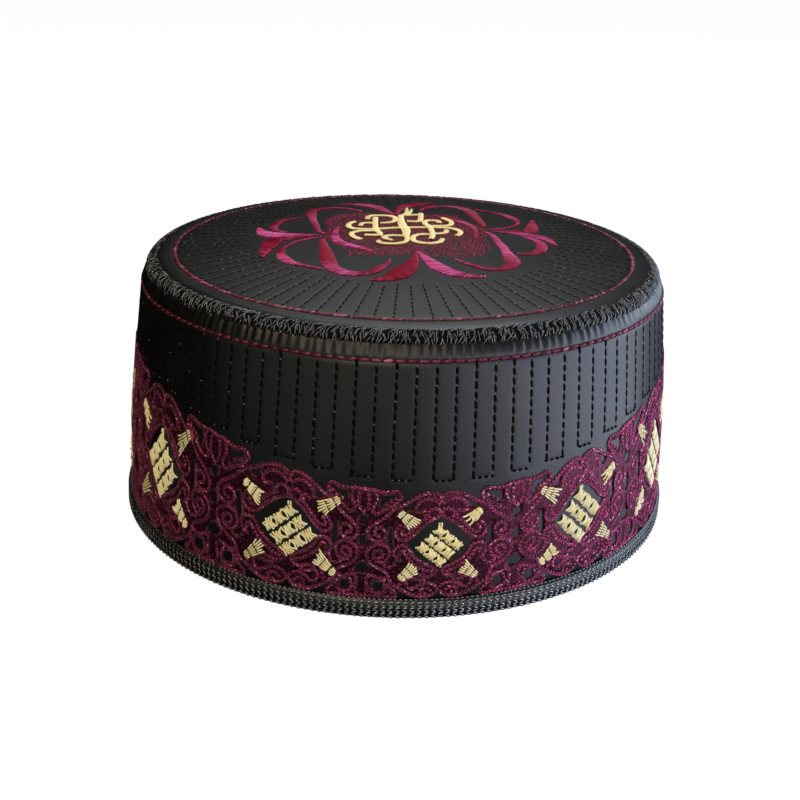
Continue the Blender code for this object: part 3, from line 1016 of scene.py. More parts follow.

# %% [markdown]
# The embroidered band repeats twelve times round the cap. One repeat runs from the middle of one
# gold lozenge to the middle of the gap before the next, and is then mirrored, so a chart of half a
# repeat is enough. The chart is drawn as an embroiderer would on squared paper: lines of
# cord by a few points each, in millimetres across and up. The band also climbs towards the
# sides of the cap, so its upper part is stretched there.

# %% The band's chart
REPEATS = 12
HALVES = [(repeat, side) for repeat in range(REPEATS) for side in (1, -1)]
FRONT_LOZENGES = (8.5, 37.4, 65.9, -52.5 + 360, -19.2 + 360)
HALF_REPEAT = 22.0
BAND_CLIMB = 18.0 * MM
BAND_LOW = 7.5
BAND_HIGH = 38.6
CORDS = {
    "arch": [
        (0, 36.2), (0.2, 37.6), (1.1, 38.6), (2.7, 39), (4.4, 38.8), (6.2, 38.1), (8, 37), (9.8, 35.8),
        (11.4, 35), (12.9, 34.1), (14.1, 32.8), (15.4, 31.4), (17, 30.2), (18.6, 29), (20, 27.7),
        (20.7, 26), (20.1, 24.5), (18.6, 23.6), (16.9, 23.7), (15.7, 24.8), (15.4, 26.3), (16.2, 27.6),
        (17.6, 27.8), (18.6, 26.9), (18.4, 25.6), (17.3, 25.2),
    ],
    "arch_loop": [
        (0.7, 35.7), (2.2, 36.8), (4, 37.1), (5.7, 36.5), (6.9, 35.2), (7.2, 33.8), (6.4, 33.1),
        (4.9, 33.5),
    ],
    "frame_upper": [
        (4.4, 32.2), (3.1, 33.6), (1.6, 34.2), (0.4, 33.4), (0.5, 32.1), (1.8, 31.2), (3.4, 30.2),
        (4.8, 29.1), (6, 27.9), (7.2, 26.6), (8.6, 25.3), (10.2, 24.5), (11.8, 24.7), (12.7, 25.9),
        (12.5, 27.5), (11.6, 28.8),
    ],
    "frame_beside": [
        (3.4, 31.8), (5.2, 30.6), (6.6, 29.2), (7.9, 27.7), (9.3, 26.4), (10.6, 26.1), (11, 27.2),
        (10.3, 28.3),
    ],
    "crest": [
        (13.7, 34.6), (12.5, 35.7), (11.5, 37.1), (11.8, 38.5), (13.2, 39), (14.8, 38.6), (16.6, 38.4),
        (18.4, 38.6), (19.8, 39), (21, 38.7), (22, 38.8),
    ],
    "crest_post": [
        (13.4, 34.8), (14.8, 34.2), (16, 33.3), (17.4, 32.3), (18.8, 31.9), (19.5, 32.9), (19, 34.4),
        (18.4, 35.8), (18.5, 37.2), (18.9, 38.4),
    ],
    "crest_bar": [(20.9, 38.4), (20.6, 36.8), (20.5, 35), (20.8, 33.2), (22, 32.2)],
    "crest_spur": [(12.9, 36.8), (13.7, 36.1), (14.9, 35.8), (15.7, 35)],
    "frame_lower": [
        (8, 13.7), (6.2, 13.7), (4.2, 13.2), (2.2, 13.2), (1, 14.2), (1.5, 15.6), (3.2, 16.6), (5, 17.5),
        (6.7, 18.7), (8, 20.1), (8.6, 21.5), (9.7, 22.6), (11.3, 22.8), (12.7, 21.8), (13, 20.2),
        (12.3, 18.9), (11.2, 18.1),
    ],
    "frame_below": [
        (2.2, 14.6), (4, 15.1), (6, 16.3), (7.9, 17.7), (9.3, 19.3), (10.2, 20.9), (11.3, 20.8),
        (11.4, 19.7),
    ],
    "tail": [
        (17.2, 18.5), (16.2, 19.1), (16.2, 20.4), (17.3, 21), (18.5, 20.3), (18.7, 18.7), (17.7, 17.5),
        (16, 17.3), (14.7, 18.5), (14.3, 20.4), (15.1, 22.1), (17, 22.8), (19.1, 22.2), (20.5, 20.6),
        (20.6, 18.6), (19.4, 16.8), (17.5, 15.5), (15.6, 14.6), (14.5, 13.5), (15.1, 12.4), (16.8, 12.1),
        (18.2, 12.7), (19.6, 13), (20.6, 12.1), (20.5, 10.3), (20.2, 8.6), (20.7, 7.2), (22, 6.6),
    ],
    "lobe_tail": [(12.3, 18), (13, 16.6), (14.2, 15.9), (15.6, 16.4)],
    "low_leaf": [
        (13.6, 11), (12, 9.7), (10, 8.5), (8, 7.4), (5.8, 6.7), (3.4, 6.6), (1.4, 7.3), (0.4, 8.7),
        (1, 10.2), (2.8, 11), (4.8, 10.8), (6.4, 9.8), (7.8, 9.1), (8.9, 9.8), (9.3, 11.3), (8.6, 12.6),
        (7.1, 12.5), (5.7, 11.9), (4.2, 12.1),
    ],
    "low_curl": [(2.2, 8.6), (3.5, 9.5), (5.1, 9), (5.2, 7.9), (3.8, 7.6)],
    "low_bar": [(10.2, 13.4), (10.6, 11.9), (11, 10.5)],
    "foot": [
        (14.3, 12.6), (13.9, 11.1), (14.3, 9.8), (13.3, 8.8), (12.2, 7.9), (12, 6.8), (13, 6.2), (15, 6.5),
        (17, 6.5), (19, 6.6), (20.4, 6.4), (22, 6),
    ],
    "foot_window": [(15.6, 11.5), (15, 9.8), (15.3, 8), (17.2, 7.6), (18.9, 8), (19.2, 9.8), (18.6, 11.4)],
}


def lozenge_angle(repeat):
    """The angle of a lozenge: five are given one by one, and the others are spaced evenly behind."""
    turns, repeat = divmod(repeat, REPEATS)
    first, second, third, fourth, last = FRONT_LOZENGES
    behind = [third + (fourth - third) * i / (REPEATS - 4) for i in range(REPEATS - 3)]
    return math.radians([first, second, *behind, last][repeat] + 360 * turns)


def on_climbing_wall(angle, up, lift, seen_from):
    """A height of the chart, in millimetres, raised as the band climbs at the angle seen_from."""
    climb = BAND_CLIMB * math.sin(seen_from - BAND_FRONT) ** 2 * (up - BAND_LOW) / (BAND_HIGH - BAND_LOW)
    return on_wall(angle, up * MM + climb, lift)


def on_band(across, up, repeat, lift):
    """A place of the chart, in millimetres, on one repeat of the band."""
    middle = lozenge_angle(repeat)
    neighbour = lozenge_angle(repeat + (1 if across > 0 else -1))
    angle = middle + (neighbour - middle) / 2 * abs(across) / HALF_REPEAT
    return on_climbing_wall(angle, up, lift, angle)


def flowing(points, step):
    """A smooth curve through the points (a Catmull-Rom spline), with a point about every step."""
    knots = [Vector(point) for point in points]
    knots = [2 * knots[0] - knots[1]] + knots + [2 * knots[-1] - knots[-2]]
    line = []
    for before, start, end, after in zip(knots, knots[1:], knots[2:], knots[3:]):
        count = max(1, round((end - start).length / step))
        for t in (i / count for i in range(count)):
            square = (2 * before - 5 * start + 4 * end - after) * t * t
            cube = (3 * start - before - 3 * end + after) * t**3
            line.append((2 * start + (end - before) * t + (square + cube)) / 2)
    line.append(knots[-2])
    return line


print("lines in the chart:", len(CORDS))

# %% [markdown]
# Between the cords the band is filled with short crimson stitches, except in the windows, where the
# bare cloth shows. The filling is a thin raised sheet. It is cut from a fine grid: squares whose
# middle lies in the band and in no window are kept, and the grid points on the edge move onto the
# drawn outline, so that the outline is crisp.

# %% Filling of the band
OUTLINE = [
    (0, 36.2), (0.1, 37.6), (1, 38.6), (2.6, 39.1), (4.4, 39), (6.2, 38.3), (8, 37.1), (9.8, 35.9),
    (11.4, 35.1), (12.4, 35.2), (11.5, 36.5), (11.3, 37.6), (11.8, 38.7), (13.2, 39.1), (14.8, 38.7),
    (16.5, 38.5), (18.4, 38.7), (19.8, 39.1), (21.2, 38.8), (22, 38.9), (22, 5.9), (20.4, 6.2), (18, 6.4),
    (15, 6.4), (12.8, 6.1), (11.9, 7), (12.4, 8.2), (13.2, 9.1), (12.4, 9.7), (10, 8.4), (8, 7.3),
    (5.8, 6.6), (3.4, 6.5), (1.4, 7.2), (0.2, 8.6), (0, 9.2),
]
WINDOWS = [
    [
        (0, 31.4), (1.6, 30.6), (3.4, 29.4), (5, 28), (6.8, 26), (8.6, 24.4), (9.6, 23.6), (8.4, 22),
        (7.4, 20.4), (5.8, 18.9), (3.6, 17.5), (1.8, 16.5), (0, 15.2),
    ],
    [
        (12.8, 37.8), (14.6, 37.4), (17.4, 37.3), (17.4, 35.4), (17.6, 33.6), (16.2, 34.4), (14.9, 35),
        (13.4, 36),
    ],
    [(7.8, 36.1), (9.6, 34.9), (11.4, 34), (10.2, 33.5), (8.4, 34.2)],
    [
        (13.5, 27.4), (14.5, 28.2), (14.6, 25.4), (14.7, 23.2), (13.9, 21.6), (14, 19), (14.4, 17.6),
        (13.5, 18), (13.7, 19.8), (13.3, 22.4), (13.3, 23.4), (13.6, 25.2),
    ],
    [(15.8, 10.8), (18.4, 10.9), (18.6, 9.4), (18.3, 8.4), (15.8, 8.4)],
    [(21.1, 24.6), (22, 25.4), (22, 21.2), (21.1, 22.2)],
    [(19.4, 14.8), (20.8, 16.2), (22, 16.8), (22, 13.8), (20.6, 14.1)],
    [(20.6, 30.8), (22, 31.2), (22, 28.8), (21, 29.4)],
    [(0, 35.2), (1, 34.9), (0, 34.4)],
    [(2.6, 14.3), (5.2, 14.6), (6.4, 15.2), (5.2, 15)],
]
FILL_SQUARE = 1.0
FILL_FROM = 5
FILL_TO = 40
FILL_RISE = 0.24 * MM
FILL_SINK = -0.15 * MM
FILL_EDGE = 0.02 * MM


def inside(point, outline):
    """Even-odd test: whether a point lies within a closed outline."""
    across, up = point
    within = False
    for (x0, y0), (x1, y1) in zip(outline, outline[1:] + outline[:1]):
        if (y0 > up) != (y1 > up) and across < x0 + (up - y0) * (x1 - x0) / (y1 - y0):
            within = not within
    return within


def nearest_on(outlines, point):
    """The place on any of the outlines that is nearest to a point."""
    place = Vector(point)
    best = None
    for outline in outlines:
        for start, end in zip(outline, outline[1:] + outline[:1]):
            start, edge = Vector(start), Vector(end) - Vector(start)
            share = min(max((place - start).dot(edge) / edge.length_squared, 0.0), 1.0)
            found = start + edge * share
            if best is None or (found - place).length < (best - place).length:
                best = found
    return best


def fill_squares():
    """The kept squares of half a repeat, and the moved grid points on their edge."""
    columns = round(HALF_REPEAT / FILL_SQUARE)
    width = HALF_REPEAT / columns
    kept = set()
    for column in range(columns):
        for row in range(int(FILL_FROM / width), int(FILL_TO / width)):
            middle = ((column + 0.5) * width, (row + 0.5) * width)
            if inside(middle, OUTLINE) and not any(inside(middle, window) for window in WINDOWS):
                kept.add((column, row))
    moved = {}
    for column, row in kept:
        for corner in ((column, row), (column + 1, row), (column, row + 1), (column + 1, row + 1)):
            around = {(corner[0] - i, corner[1] - j) for i in (0, 1) for j in (0, 1)}
            if corner[0] in (0, columns):
                around = {square for square in around if 0 <= square[0] < columns}
            place = Vector(corner) * width
            if not around <= kept:
                found = nearest_on([OUTLINE, *WINDOWS], place)
                if corner[0] in (0, columns):
                    found = Vector((place.x, found.y))
                moved[corner] = (place if (found - place).length > width else found, True)
            else:
                moved.setdefault(corner, (place, False))
    return kept, moved, columns


def make_band_fill():
    kept, moved, columns = fill_squares()
    points, faces, number = [], [], {}

    def vertex(repeat, side, corner, top):
        place, edge = moved[corner]
        seam = (repeat * 2 * columns + side * corner[0]) % (REPEATS * 2 * columns)
        key = (seam, corner[1], top or edge)
        if key not in number:
            number[key] = len(points)
            lift = FILL_EDGE if edge else FILL_RISE if top else FILL_SINK
            points.append(on_band(side * place.x, place.y, repeat, lift)[0])
        return number[key]

    for repeat, side in HALVES:
        for column, row in sorted(kept):
            corners = [(column, row), (column + 1, row), (column + 1, row + 1), (column, row + 1)]
            for top in (True, False):
                face = [vertex(repeat, side, corner, top) for corner in corners]
                faces.append(face if top == (side > 0) else face[::-1])
    mesh = bpy.data.meshes.new("band_fill")
    mesh.from_pydata(points, [], faces)
    mesh.materials.append(crimson_ground)
    mesh.shade_smooth()
    return settle("band_fill", mesh, None)


band_fill = make_band_fill()

# %% [markdown]
# Each cord is chain stitch: two rows of short stitches that slant together like the legs of a V,
# with a dark furrow between. They are laid a little proud of the filling. A tenth of the stitches
# are painted paler pink: painted highlights.

# %% Cords of the band
CORD_PITCH = 1.22 * MM
CORD_LIFT = 0.36 * MM
CORD_HALF = 0.24
CORD = (1.5, 0.56, 0.30)
CHART_STEP = 0.7
UPPER = ("arch", "arch_loop", "frame_upper", "frame_beside", "crest", "crest_post", "crest_bar", "crest_spur")


def beside_line(line, aside):
    """A line shifted sideways by this much, to its left."""
    moved = []
    for i, point in enumerate(line):
        along = (line[min(i + 1, len(line) - 1)].xy - line[max(i - 1, 0)].xy).normalized()
        moved.append(point.xy + Vector((-along.y, along.x)) * aside)
    return moved


def band_chains(names):
    chains = []
    for repeat, side in HALVES:
        for line in (flowing(CORDS[name], CHART_STEP) for name in names):
            for row in (-1, 1):
                places = beside_line(line, row * CORD_HALF)
                spots = [on_band(side * place.x, place.y, repeat, CORD_LIFT) for place in places]
                chains.append([(*spot, 1.0, 0.0, float(row * side)) for spot in spots])
    return chains


for name, chart, seed in (
    ("band_upper_cords", UPPER, 21),
    ("band_lower_cords", [name for name in CORDS if name not in UPPER], 22),
):
    more = {"slant": -0.36, "wobble": 0.12, "seed": seed, "sides": 4, "sparkle": 0.10}
    sew(name, band_chains(chart), crimson_thread, CORD_PITCH, CORD, None, **more)

# %% [markdown]
# Small stitches are strewn over the filling. A third sewing tree does this: it scatters points over
# the sheet, none too near another, and lays one stitch on each, turned at random.

# %% Tree: strewn stitches
STREWN_SIDES = 4
MOST_STITCHES = 4.0e6


def strewn_tree():
    tree, given = new_tree(
        "strewn_stitches", Float="Apart, Length, Width, Height", Int="Seed", Material="Thread"
    )
    node = partial(add, tree)
    scatter = {"Distance Min": given["Apart"], "Density Max": MOST_STITCHES, "Seed": given["Seed"]}
    points = node(
        "GeometryNodeDistributePointsOnFaces", {"Mesh": given["Geometry"], **scatter},
        distribute_method="POISSON",
    )
    turn = node("FunctionNodeRandomValue", {"Min": 0.0, "Max": math.tau, "Seed": given["Seed"] + 1})
    size = vector(tree, given["Length"] * 0.5, given["Width"] * 0.5, given["Height"] * 0.5)
    strewn = lay_beads(tree, points["Points"], points["Rotation"], turn, size, STREWN_SIDES)
    return end_tree(tree, strewn, given["Thread"])


strewn_stitches = strewn_tree()


def strew(name, mesh, thread, apart, size, seed):
    """Small stitches over the top side of a sheet."""
    values = {"apart": apart, "seed": seed, "thread": thread, **stitch_size(size)}
    return grow(name, mesh, strewn_stitches, None, **values)


def top_side(piece):
    """A copy of the faces of a sheet that look away from the middle of the cap, not leaned."""
    mesh = bpy.data.meshes.new(piece.name + "_top")
    places = [vertex.co.copy() for vertex in piece.data.vertices]
    for place in places:
        place.x -= CROWN_LEAN * place.z / CROWN_HEIGHT
    faces = [
        tuple(face.vertices) for face in piece.data.polygons
        if face.normal.dot(face.center - Vector((0, 0, face.center.z))) > 0
    ]
    mesh.from_pydata(places, [], faces)
    return mesh


BAND_STREWN = (1.1, 0.6, 0.22)
BAND_APART = 1.4 * MM

strew("band_stipple", top_side(band_fill), crimson_ground, BAND_APART, BAND_STREWN, 23)

# %% [markdown]
# The gold is satin stitch. A lozenge is nine small bundles of strands in three rows, each drawn in
# at its waist. The wedges round it are sheaves: a round head, a bound middle and a fan of loose
# ends. Both are charted in real millimetres from the lozenge's middle, since the lozenges are not
# all alike: those left of the front slope one way and the others the other way.

# %% Gold of the band
LOZENGE_MIDDLE = 22.4
ROW_STEP = Vector((3.05, 2.42))
CELL_STEP = Vector((2.95, -2.85))
LOZENGE_SIZES = {
    # by repeat: the way it slopes, its width and its height
    0: (-1, 0.80, 0.88), 1: (-1, 1.02, 1.08), 2: (-1, 1.05, 1.1), REPEATS - 1: (1, 1.02, 1.0),
}
OTHER_SIZE = (1, 1.05, 1.05)
CELL_STRANDS = 5
CELL_HALF = 0.38
CELL_WIDTHS = ((-1, 0.46, -0.2), (-0.5, 0.35, 0.12), (0, 0.27, 0.2), (0.5, 0.35, 0.12), (1, 0.46, -0.2))
GOLD_LIFT = 0.36 * MM
GOLD_RADIUS = 0.29 * MM
COMBED_SHARE = 0.25
COMBED_OVERLAP = 0.06
WEDGES = (((14.6, 33.0), (9.0, 29.4)), ((14.0, 12.1), (8.4, 16.0)))
SHEAF = (
    # share of the length from and to, half width from and to, strands, how loose the ends are
    (0.0, 0.27, 0.85, 1.0, 4, 0.03),
    (0.32, 0.62, 1.05, 1.5, 5, 0.04),
    (0.67, 1.0, 1.45, 2.05, 6, 0.16),
)


def near_lozenge(across, up, repeat, lift):
    """A place in millimetres from the middle of a lozenge, with up as in the band's chart."""
    middle = lozenge_angle(repeat)
    return on_climbing_wall(middle + across * MM / wall_radius(up * MM), up, lift, middle)


def strand(places, lifts, repeat, thick, chance):
    """One gold strand through these places, its colour painted by a random share towards a paler gold: a
    painted highlight.
    """
    bright = chance.uniform(0.0, 0.7)
    return [
        (*near_lozenge(place.x, place.y, repeat, GOLD_LIFT + lift * MM), thick, bright)
        for place, lift in zip(places, lifts)
    ]


def lozenge_chains(repeat, chance):
    hand, wide, size = LOZENGE_SIZES.get(repeat, OTHER_SIZE)
    row_step = Vector((ROW_STEP.x * hand * wide, ROW_STEP.y * size))
    cell_step = Vector((CELL_STEP.x * hand * wide, CELL_STEP.y * size))
    centre = Vector((0, LOZENGE_MIDDLE))
    chains = []
    for i, j in ((i, j) for i in (-1, 0, 1) for j in (-1, 0, 1)):
        middle = centre + i * row_step + j * cell_step
        for number in range(CELL_STRANDS):
            aside = number / (CELL_STRANDS - 1) * 2 - 1
            reach = CELL_HALF * chance.uniform(0.78, 1.2)
            places = [
                middle + cell_step * along * reach + row_step * (aside * half + 0.04 * chance.uniform(-1, 1))
                for along, half, _ in CELL_WIDTHS
            ]
            chains.append(strand(places, [lift for *_, lift in CELL_WIDTHS], repeat, 1.0, chance))
    top = centre + Vector((0, abs(cell_step.y) + abs(row_step.y) + 2.2))
    for share in (-1, 1):
        ends = [top + Vector((0.35 * share, 0.5 * end)) for end in (-1, 0, 1)]
        chains.append(strand(ends, (-0.2, 0.1, -0.2), repeat, 0.9, chance))
    return chains


def wedge_chains(repeat, side, chance):
    wide = LOZENGE_SIZES.get(repeat, OTHER_SIZE)[1]
    chains = []
    for head, fan in WEDGES:
        head = Vector((side * head[0] * wide, head[1] + chance.uniform(-0.3, 0.3)))
        fan = Vector((side * fan[0] * wide, fan[1] + chance.uniform(-0.5, 0.5)))
        line = fan - head
        beside = Vector((-line.y, line.x)).normalized()
        combed = chance.random() < COMBED_SHARE
        for start, end, narrow, broad, strands, loose in SHEAF:
            start = start - COMBED_OVERLAP if combed and start > 0 else start
            for number in range(strands):
                aside = number / (strands - 1) * 2 - 1
                if combed and start > 0.6 and number % 2:
                    continue
                shrink = 0.05 * aside**2 if start <= 0 else 0.0
                first, last = start + shrink, end - shrink + loose * chance.uniform(-1, 0.6)
                places = [
                    head + line * (first + (last - first) * share)
                    + beside * aside * (narrow + (broad - narrow) * share)
                    for share in (0.0, 0.5, 1.0)
                ]
                chains.append(strand(places, (-0.12, 0.22, -0.12), repeat, 0.95, chance))
        if combed:
            for share in (0.3, 0.62):
                places = [head + line * (share + 0.02 * end) + beside * 1.25 * end for end in (-1, 0, 1)]
                chains.append(strand(places, (-0.1, 0.5, -0.1), repeat, 0.7, chance))
    return chains


gold_chance = random.Random(31)
lozenges = [chain for repeat in range(REPEATS) for chain in lozenge_chains(repeat, gold_chance)]
spin("gold_lozenges", lozenges, gold_thread, GOLD_RADIUS)
wedges = [chain for repeat, side in HALVES for chain in wedge_chains(repeat, side, gold_chance)]
spin("gold_wedges", wedges, gold_thread, GOLD_RADIUS)

# %% [markdown]
# The rosette on the crown is satin stitch: long strands laid side by side across each petal, so
# that a petal shines differently as it turns. A petal is charted as a middle line with a width
# and a painted highlight at each point, in millimetres, x to the right and y to the back: where
# the petal shines, its strands are also painted towards a pale magenta. The rosette looks the same
# when it is turned half way round, so half of it is charted. The far half is sewn thinner and with
# less painted highlight, a painted shade. Every second strand gets less painted highlight too, a
# painted shade, so that each can be told from the next.

# %% The rosette's chart
ROSETTE_MIDDLE = Vector((0.465, 3.72))
# Each point: x, y, width and painted highlight, how far the strands there are painted towards a pale magenta.
PETALS = [
    [
        (-49.3, 9.5, 0.8, 0.6), (-47.8, 5, 3.4, 1), (-45.5, 1.5, 6, 1), (-42.5, -0.6, 6.4, 1),
        (-38.5, -1.6, 5, 0.7), (-34, -2, 3.2, 0.4), (-29, -2.2, 1.4, 0.2),
    ],
    [
        (-31, -3.2, 1, 0.1), (-36.5, -4.6, 3.6, 0.1), (-41, -6.5, 6.4, 0.05), (-42.9, -10.5, 6.6, 0),
        (-43.7, -15.5, 5, 0), (-44.1, -20.5, 3.2, 0.1), (-44.2, -25, 1, 0.1),
    ],
    [
        (-27, -4, 0.6, 0.5), (-31, -6.4, 1.2, 0.6), (-35, -9.8, 1.1, 0.4), (-37.6, -14.5, 1.2, 0.1),
        (-38.7, -19.5, 2.4, 0.1), (-38.3, -24, 3.2, 0.4), (-36.8, -28, 3.8, 1), (-34.9, -31.2, 3, 0.7),
        (-32, -33.6, 1.6, 0.3), (-28, -36, 1, 0.2), (-25, -38, 0.6, 0.1),
    ],
    [
        (-26.6, -7, 1.2, 0.1), (-26, -12, 2.6, 0.1), (-25, -18, 3.6, 0), (-24, -24, 4.6, 0),
        (-23.2, -30, 5.4, 0.05), (-22, -35.5, 4.6, 0.5), (-19.6, -39.6, 4.6, 1), (-16, -42, 4, 0.6),
        (-12, -41.8, 3.4, 0.3), (-8.6, -39.5, 3.4, 0.2), (-6.4, -36, 3, 0.2), (-4.8, -32.5, 1.8, 0.2),
        (-4.4, -29.5, 0.8, 0.1),
    ],
    [
        (3.7, -20.5, 0.8, 0.05), (3.6, -26, 2.2, 0.05), (2.9, -31, 4, 0.05), (1.6, -36, 6.4, 0.05),
        (-0.6, -40.5, 8, 0.05), (-3.4, -44, 6.4, 0.05), (-7, -46.4, 3, 0.05), (-9.5, -47, 0.8, 0.05),
    ],
    [
        (4.7, -20.6, 0.8, 0.8), (6.7, -25.5, 2.6, 1), (8.9, -30.3, 4.4, 1), (11.2, -35, 5.8, 1),
        (14.2, -38.6, 5.4, 1), (18, -40.6, 3.8, 0.6), (21.5, -41.2, 2.4, 0.5), (24.6, -40.6, 1, 0.5),
    ],
    [
        (27, 8.5, 0.6, 0.5), (29.3, 4.5, 1.6, 0.4), (30.3, 0, 2.4, 0.4), (31, -4.5, 2.6, 0.6),
        (32, -9, 3, 1), (32.6, -13, 3, 1), (33.2, -17, 3.6, 0.8), (34, -21.5, 5.2, 0.2), (34, -26, 5, 0.1),
        (32.6, -30, 3.8, 0.1), (30, -32.6, 3, 0.1), (26.5, -33.5, 2.6, 0.1), (22.5, -32, 2, 0.2),
        (19, -29.3, 1.4, 0.4), (16.5, -26.5, 0.8, 0.5),
    ],
    [
        (40, 5, 0.8, 0.6), (43, 3, 1.8, 0.5), (45, -0.5, 3.4, 0.3), (45.2, -5, 3.8, 0.15),
        (44.2, -9.5, 3.8, 0.1), (42.2, -13, 3.2, 0.1), (39.5, -15.3, 2, 0.1), (36.5, -15.8, 0.8, 0.1),
    ],
    [
        (-22.6, 8, 1, 0.4), (-22.8, 2, 2, 0.5), (-22.6, -4, 2.6, 0.6), (-21.4, -9, 3, 1),
        (-18.6, -13.2, 2.8, 1), (-14.6, -16.6, 2.4, 0.8), (-11.2, -20, 1.6, 0.4), (-9, -23, 0.8, 0.3),
    ],
]
SATIN_PITCH = 0.6
SATIN_RADIUS = 0.26 * MM
SATIN_LIFT = 0.14 * MM
SATIN_SLANT = math.radians(24)
SATIN_RISE = 0.14
SATIN_HIGHEST = 0.16
SATIN_NARROWEST = 0.4
FAR_WIDTH = 0.8
FAR_PAINTED_HIGHLIGHT = 0.4
SATIN_ARCH = ((-1, -0.25), (-0.75, 0.55), (0, 1), (0.75, 0.55), (1, -0.25))


def on_top(place, lift):
    """A place on the crown, in millimetres to the right and to the back."""
    return on_crown(math.atan2(place.x, -place.y), place.length * MM, lift)


def half_turned(line):
    """The same line, half a turn round the middle of the rosette, sewn thinner and with less painted
    highlight, a painted shade.
    """
    middle = ROSETTE_MIDDLE
    return [
        (2 * middle.x - x, 2 * middle.y - y, width * FAR_WIDTH, bright * FAR_PAINTED_HIGHLIGHT)
        for x, y, width, bright in line
    ]


def satin(line, lift, rise, highest, slant, chance, pitch, uneven, shade=1.0):
    """Strands side by side across a line of (x, y, width, painted highlight), each arched over it.

    Every second strand has its painted highlight cut to the share called shade: a painted shade between
    strands."""
    steps = flowing(line, pitch)
    chains = []
    for i, step in enumerate(steps):
        before, after = steps[max(i - 1, 0)].xy, steps[min(i + 1, len(steps) - 1)].xy
        along = (after - before).normalized()
        across = Vector((-along.y, along.x)) * math.cos(slant) + along * math.sin(slant)
        half = max(step.z, SATIN_NARROWEST) / 2 * (1 + 0.05 * chance.uniform(-1, 1))
        height = min(half * rise * 2, highest) * MM
        bright = step.w * (1.0 if i % 2 else shade)
        bright += uneven * (0.3 + 0.7 * step.w) * chance.uniform(-1, 1)
        spots = [on_top(step.xy + across * half * share, lift + height * arch) for share, arch in SATIN_ARCH]
        chains.append([(*spot, 1.0, bright) for spot in spots])
    return chains


rosette_chance = random.Random(41)
petals = []
for petal in PETALS:
    for line in (petal, half_turned(petal)):
        petals += satin(
            line, SATIN_LIFT, SATIN_RISE, SATIN_HIGHEST, SATIN_SLANT, rosette_chance, SATIN_PITCH,
            uneven=0.55, shade=0.1,
        )
spin("rosette_petals", petals, petal_thread, SATIN_RADIUS)

# %% [markdown]
# Under the knot the cloth is strewn with small dark crimson stitches, like the band. The patch
# that they lie on is charted by half of its rim. The other half is the same, half turned.

# %% Stitches under the knot
FIELD_RIM = [
    (-26, -5.6), (-23.7, -11.2), (-19.5, -16.7), (-16.7, -22.5), (-17.7, -25), (-11.2, -24.6), (-4.7, -24),
    (1.9, -23.4), (5.6, -22.8), (11.2, -23), (17.7, -23.6), (23.3, -21.4), (27, -16.7), (28.4, -9.3),
    (27, -0.9),
]
FIELD_RINGS = 6
FIELD_STEP = 2.4
FIELD_REACH = 0.95
FIELD_LIFT = 0.08 * MM
FIELD_STREWN = (1.05, 0.5, 0.3)
FIELD_APART = 0.98 * MM


def field_patch():
    """The part of the crown's surface inside the rim, for stitches to be strewn on."""
    half = [Vector(place) for place in FIELD_RIM]
    rim = flowing(half + [2 * ROSETTE_MIDDLE - place for place in half] + [half[0]], FIELD_STEP)[:-1]
    count = len(rim)
    points, faces = [], []
    for ring in range(FIELD_RINGS + 1):
        share = 1 - FIELD_REACH * ring / FIELD_RINGS
        points += [on_top(ROSETTE_MIDDLE.lerp(place, share), FIELD_LIFT)[0] for place in rim]
    for ring in range(FIELD_RINGS):
        for i in range(count):
            a, b = ring * count + i, ring * count + (i + 1) % count
            faces.append((a, b, b + count, a + count))
    mesh = bpy.data.meshes.new("field_patch")
    mesh.from_pydata(points, [], faces)
    return mesh


strew("rosette_stipple", field_patch(), field_thread, FIELD_APART, FIELD_STREWN, 42)

# %% [markdown]
# The gold knot lies on top: narrow bars and scrolls of satin stitch, woven over and under each
# other. Each stroke is charted like a petal, in millimetres, and carries a height: where two
# strokes cross, the one on top is lifted over the other.

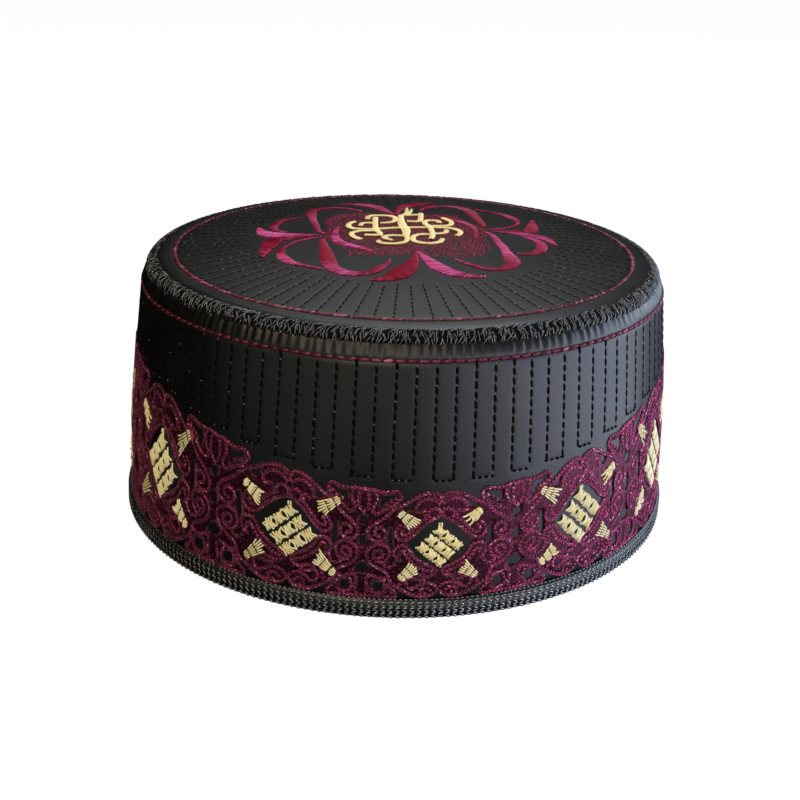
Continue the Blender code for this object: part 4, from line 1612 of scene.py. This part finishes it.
# %% The gold knot
KNOT = {
    "spine": (2, 3.2, [
        (-1.4, 26, 2.2), (-1.4, 22, 2.4), (-1.2, 16, 3), (-0.6, 10, 3.6), (0.2, 6, 3.6), (0.6, 3, 3.5),
        (0.65, -3, 2.5), (1, -7, 1.9), (0.4, -10.3, 1.8), (-1.5, -12.2, 1.8), (-4, -13, 1.8),
        (-7, -12.6, 1.8), (-8.2, -11.3, 1.8), (-8.2, -10, 1.4),
    ]),
    "finial": (2, 1.6, [(-0.6, 27, 1.6), (0.6, 31, 1.8), (0.6, 36, 1.2), (0.7, 40, 0.5)]),
    "finial_fork": (2, 1.2, [(1.2, 29, 1.2), (2, 33, 1.2), (2.3, 37.5, 0.6)]),
    "back_left_hook": (0, 2, [
        (-12.8, 20.5), (-12.8, 24), (-11, 26.2), (-8, 26.6), (-5, 25.8), (-3.4, 23), (-3.3, 19.5),
        (-4.2, 16.5), (-6.2, 15), (-8, 14.6),
    ]),
    "left_bar": (2, 2.1, [(-10.2, 21.5), (-10, 14), (-9.8, 8), (-9.3, 3), (-8, -0.8), (-8.2, -3.6)]),
    "left_inner_arm": (1, 1.8, [(-14.9, 9.6), (-14.6, 12.8), (-13, 13.8), (-10, 13.7)]),
    "middle": (1, 2, [
        (-17.2, 15.3), (-18.6, 12.8), (-19, 9.5), (-18, 6.6), (-15.8, 5.2), (-10, 5.2), (-5, 6.8), (0, 8),
        (5, 9), (10, 10), (14, 10), (17, 8.6), (18.6, 6), (18.6, 3), (17.5, 0.3),
    ]),
    "left_front_scroll": (1, 2, [
        (-8.5, 3.1), (-12, 3), (-15, 2.4), (-17.2, 0), (-17.2, -3), (-16, -5.8), (-14.3, -7.8),
    ]),
    "lower_left_arm": (1, 1.9, [(-12.8, -2.6), (-8, -2.6)]),
    "back_bar": (0, 2.1, [(5.6, 31.5), (5.6, 26), (5.4, 21), (4.6, 18.3), (1, 18.2)]),
    "back_arm": (0, 1.9, [(-0.5, 27.5), (2, 28.5), (5, 29.5)]),
    "right_back_scroll": (1, 2, [
        (13.3, 24.5), (14.8, 22.3), (16, 19), (15.9, 15.5), (14.4, 13), (11, 12), (8, 11.6),
    ]),
    "right_bar": (2, 2.1, [
        (11.8, 16.8), (11.2, 19.2), (8.6, 19.6), (7, 17.6), (6.9, 14.5), (7.6, 12.3), (8.5, 9.2), (9, 5),
        (9.4, 1), (9.2, -3), (8.8, -5.4),
    ]),
    "right_inner_arm": (1, 1.8, [(9.5, 1.2), (12, 1.8), (13.8, 3.6), (14, 6.5)]),
    "front_right_scroll": (1, 2, [
        (9, 0.2), (5.5, -0.3), (3.4, -2.5), (2.8, -5.5), (3.4, -8.8), (5.8, -10.7), (9, -10.6),
        (11.6, -8.6), (12.5, -5.3),
    ]),
    "front_left_hook": (1, 2, [
        (-0.5, -2.6, 1.9), (-4, -2.8, 2), (-6.2, -4.2, 2.2), (-6.2, -6.4, 2.2), (-4, -8.6, 1),
    ]),
}
KNOT_SLIM = 0.8
KNOT_LIFT = 0.24 * MM
KNOT_LEVEL = 0.11 * MM
KNOT_RISE = 0.2
KNOT_HIGHEST = 0.17
KNOT_SLANT = 0.12
KNOT_PITCH = 0.45
# Each knot strand is painted about a quarter of the way towards a paler gold: a painted highlight.
KNOT_PAINTED_HIGHLIGHT = 0.25

knot_chance = random.Random(43)
strokes = []
for level, width, line in KNOT.values():
    steps = [(x, y, (*own, width)[0] * KNOT_SLIM, KNOT_PAINTED_HIGHLIGHT) for x, y, *own in line]
    strokes += satin(
        steps, KNOT_LIFT + KNOT_LEVEL * level, KNOT_RISE, KNOT_HIGHEST, KNOT_SLANT, knot_chance, KNOT_PITCH,
        uneven=0.5,
    )
spin("gold_knot", strokes, gold_thread, SATIN_RADIUS)

# %% [markdown]
# The last step prints the size of the dressed cap, so that it can be compared with the size of the
# plain model printed at the start.

# %% The size of the dressed cap
visual_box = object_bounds()
print("dressed:", in_mm(visual_box))
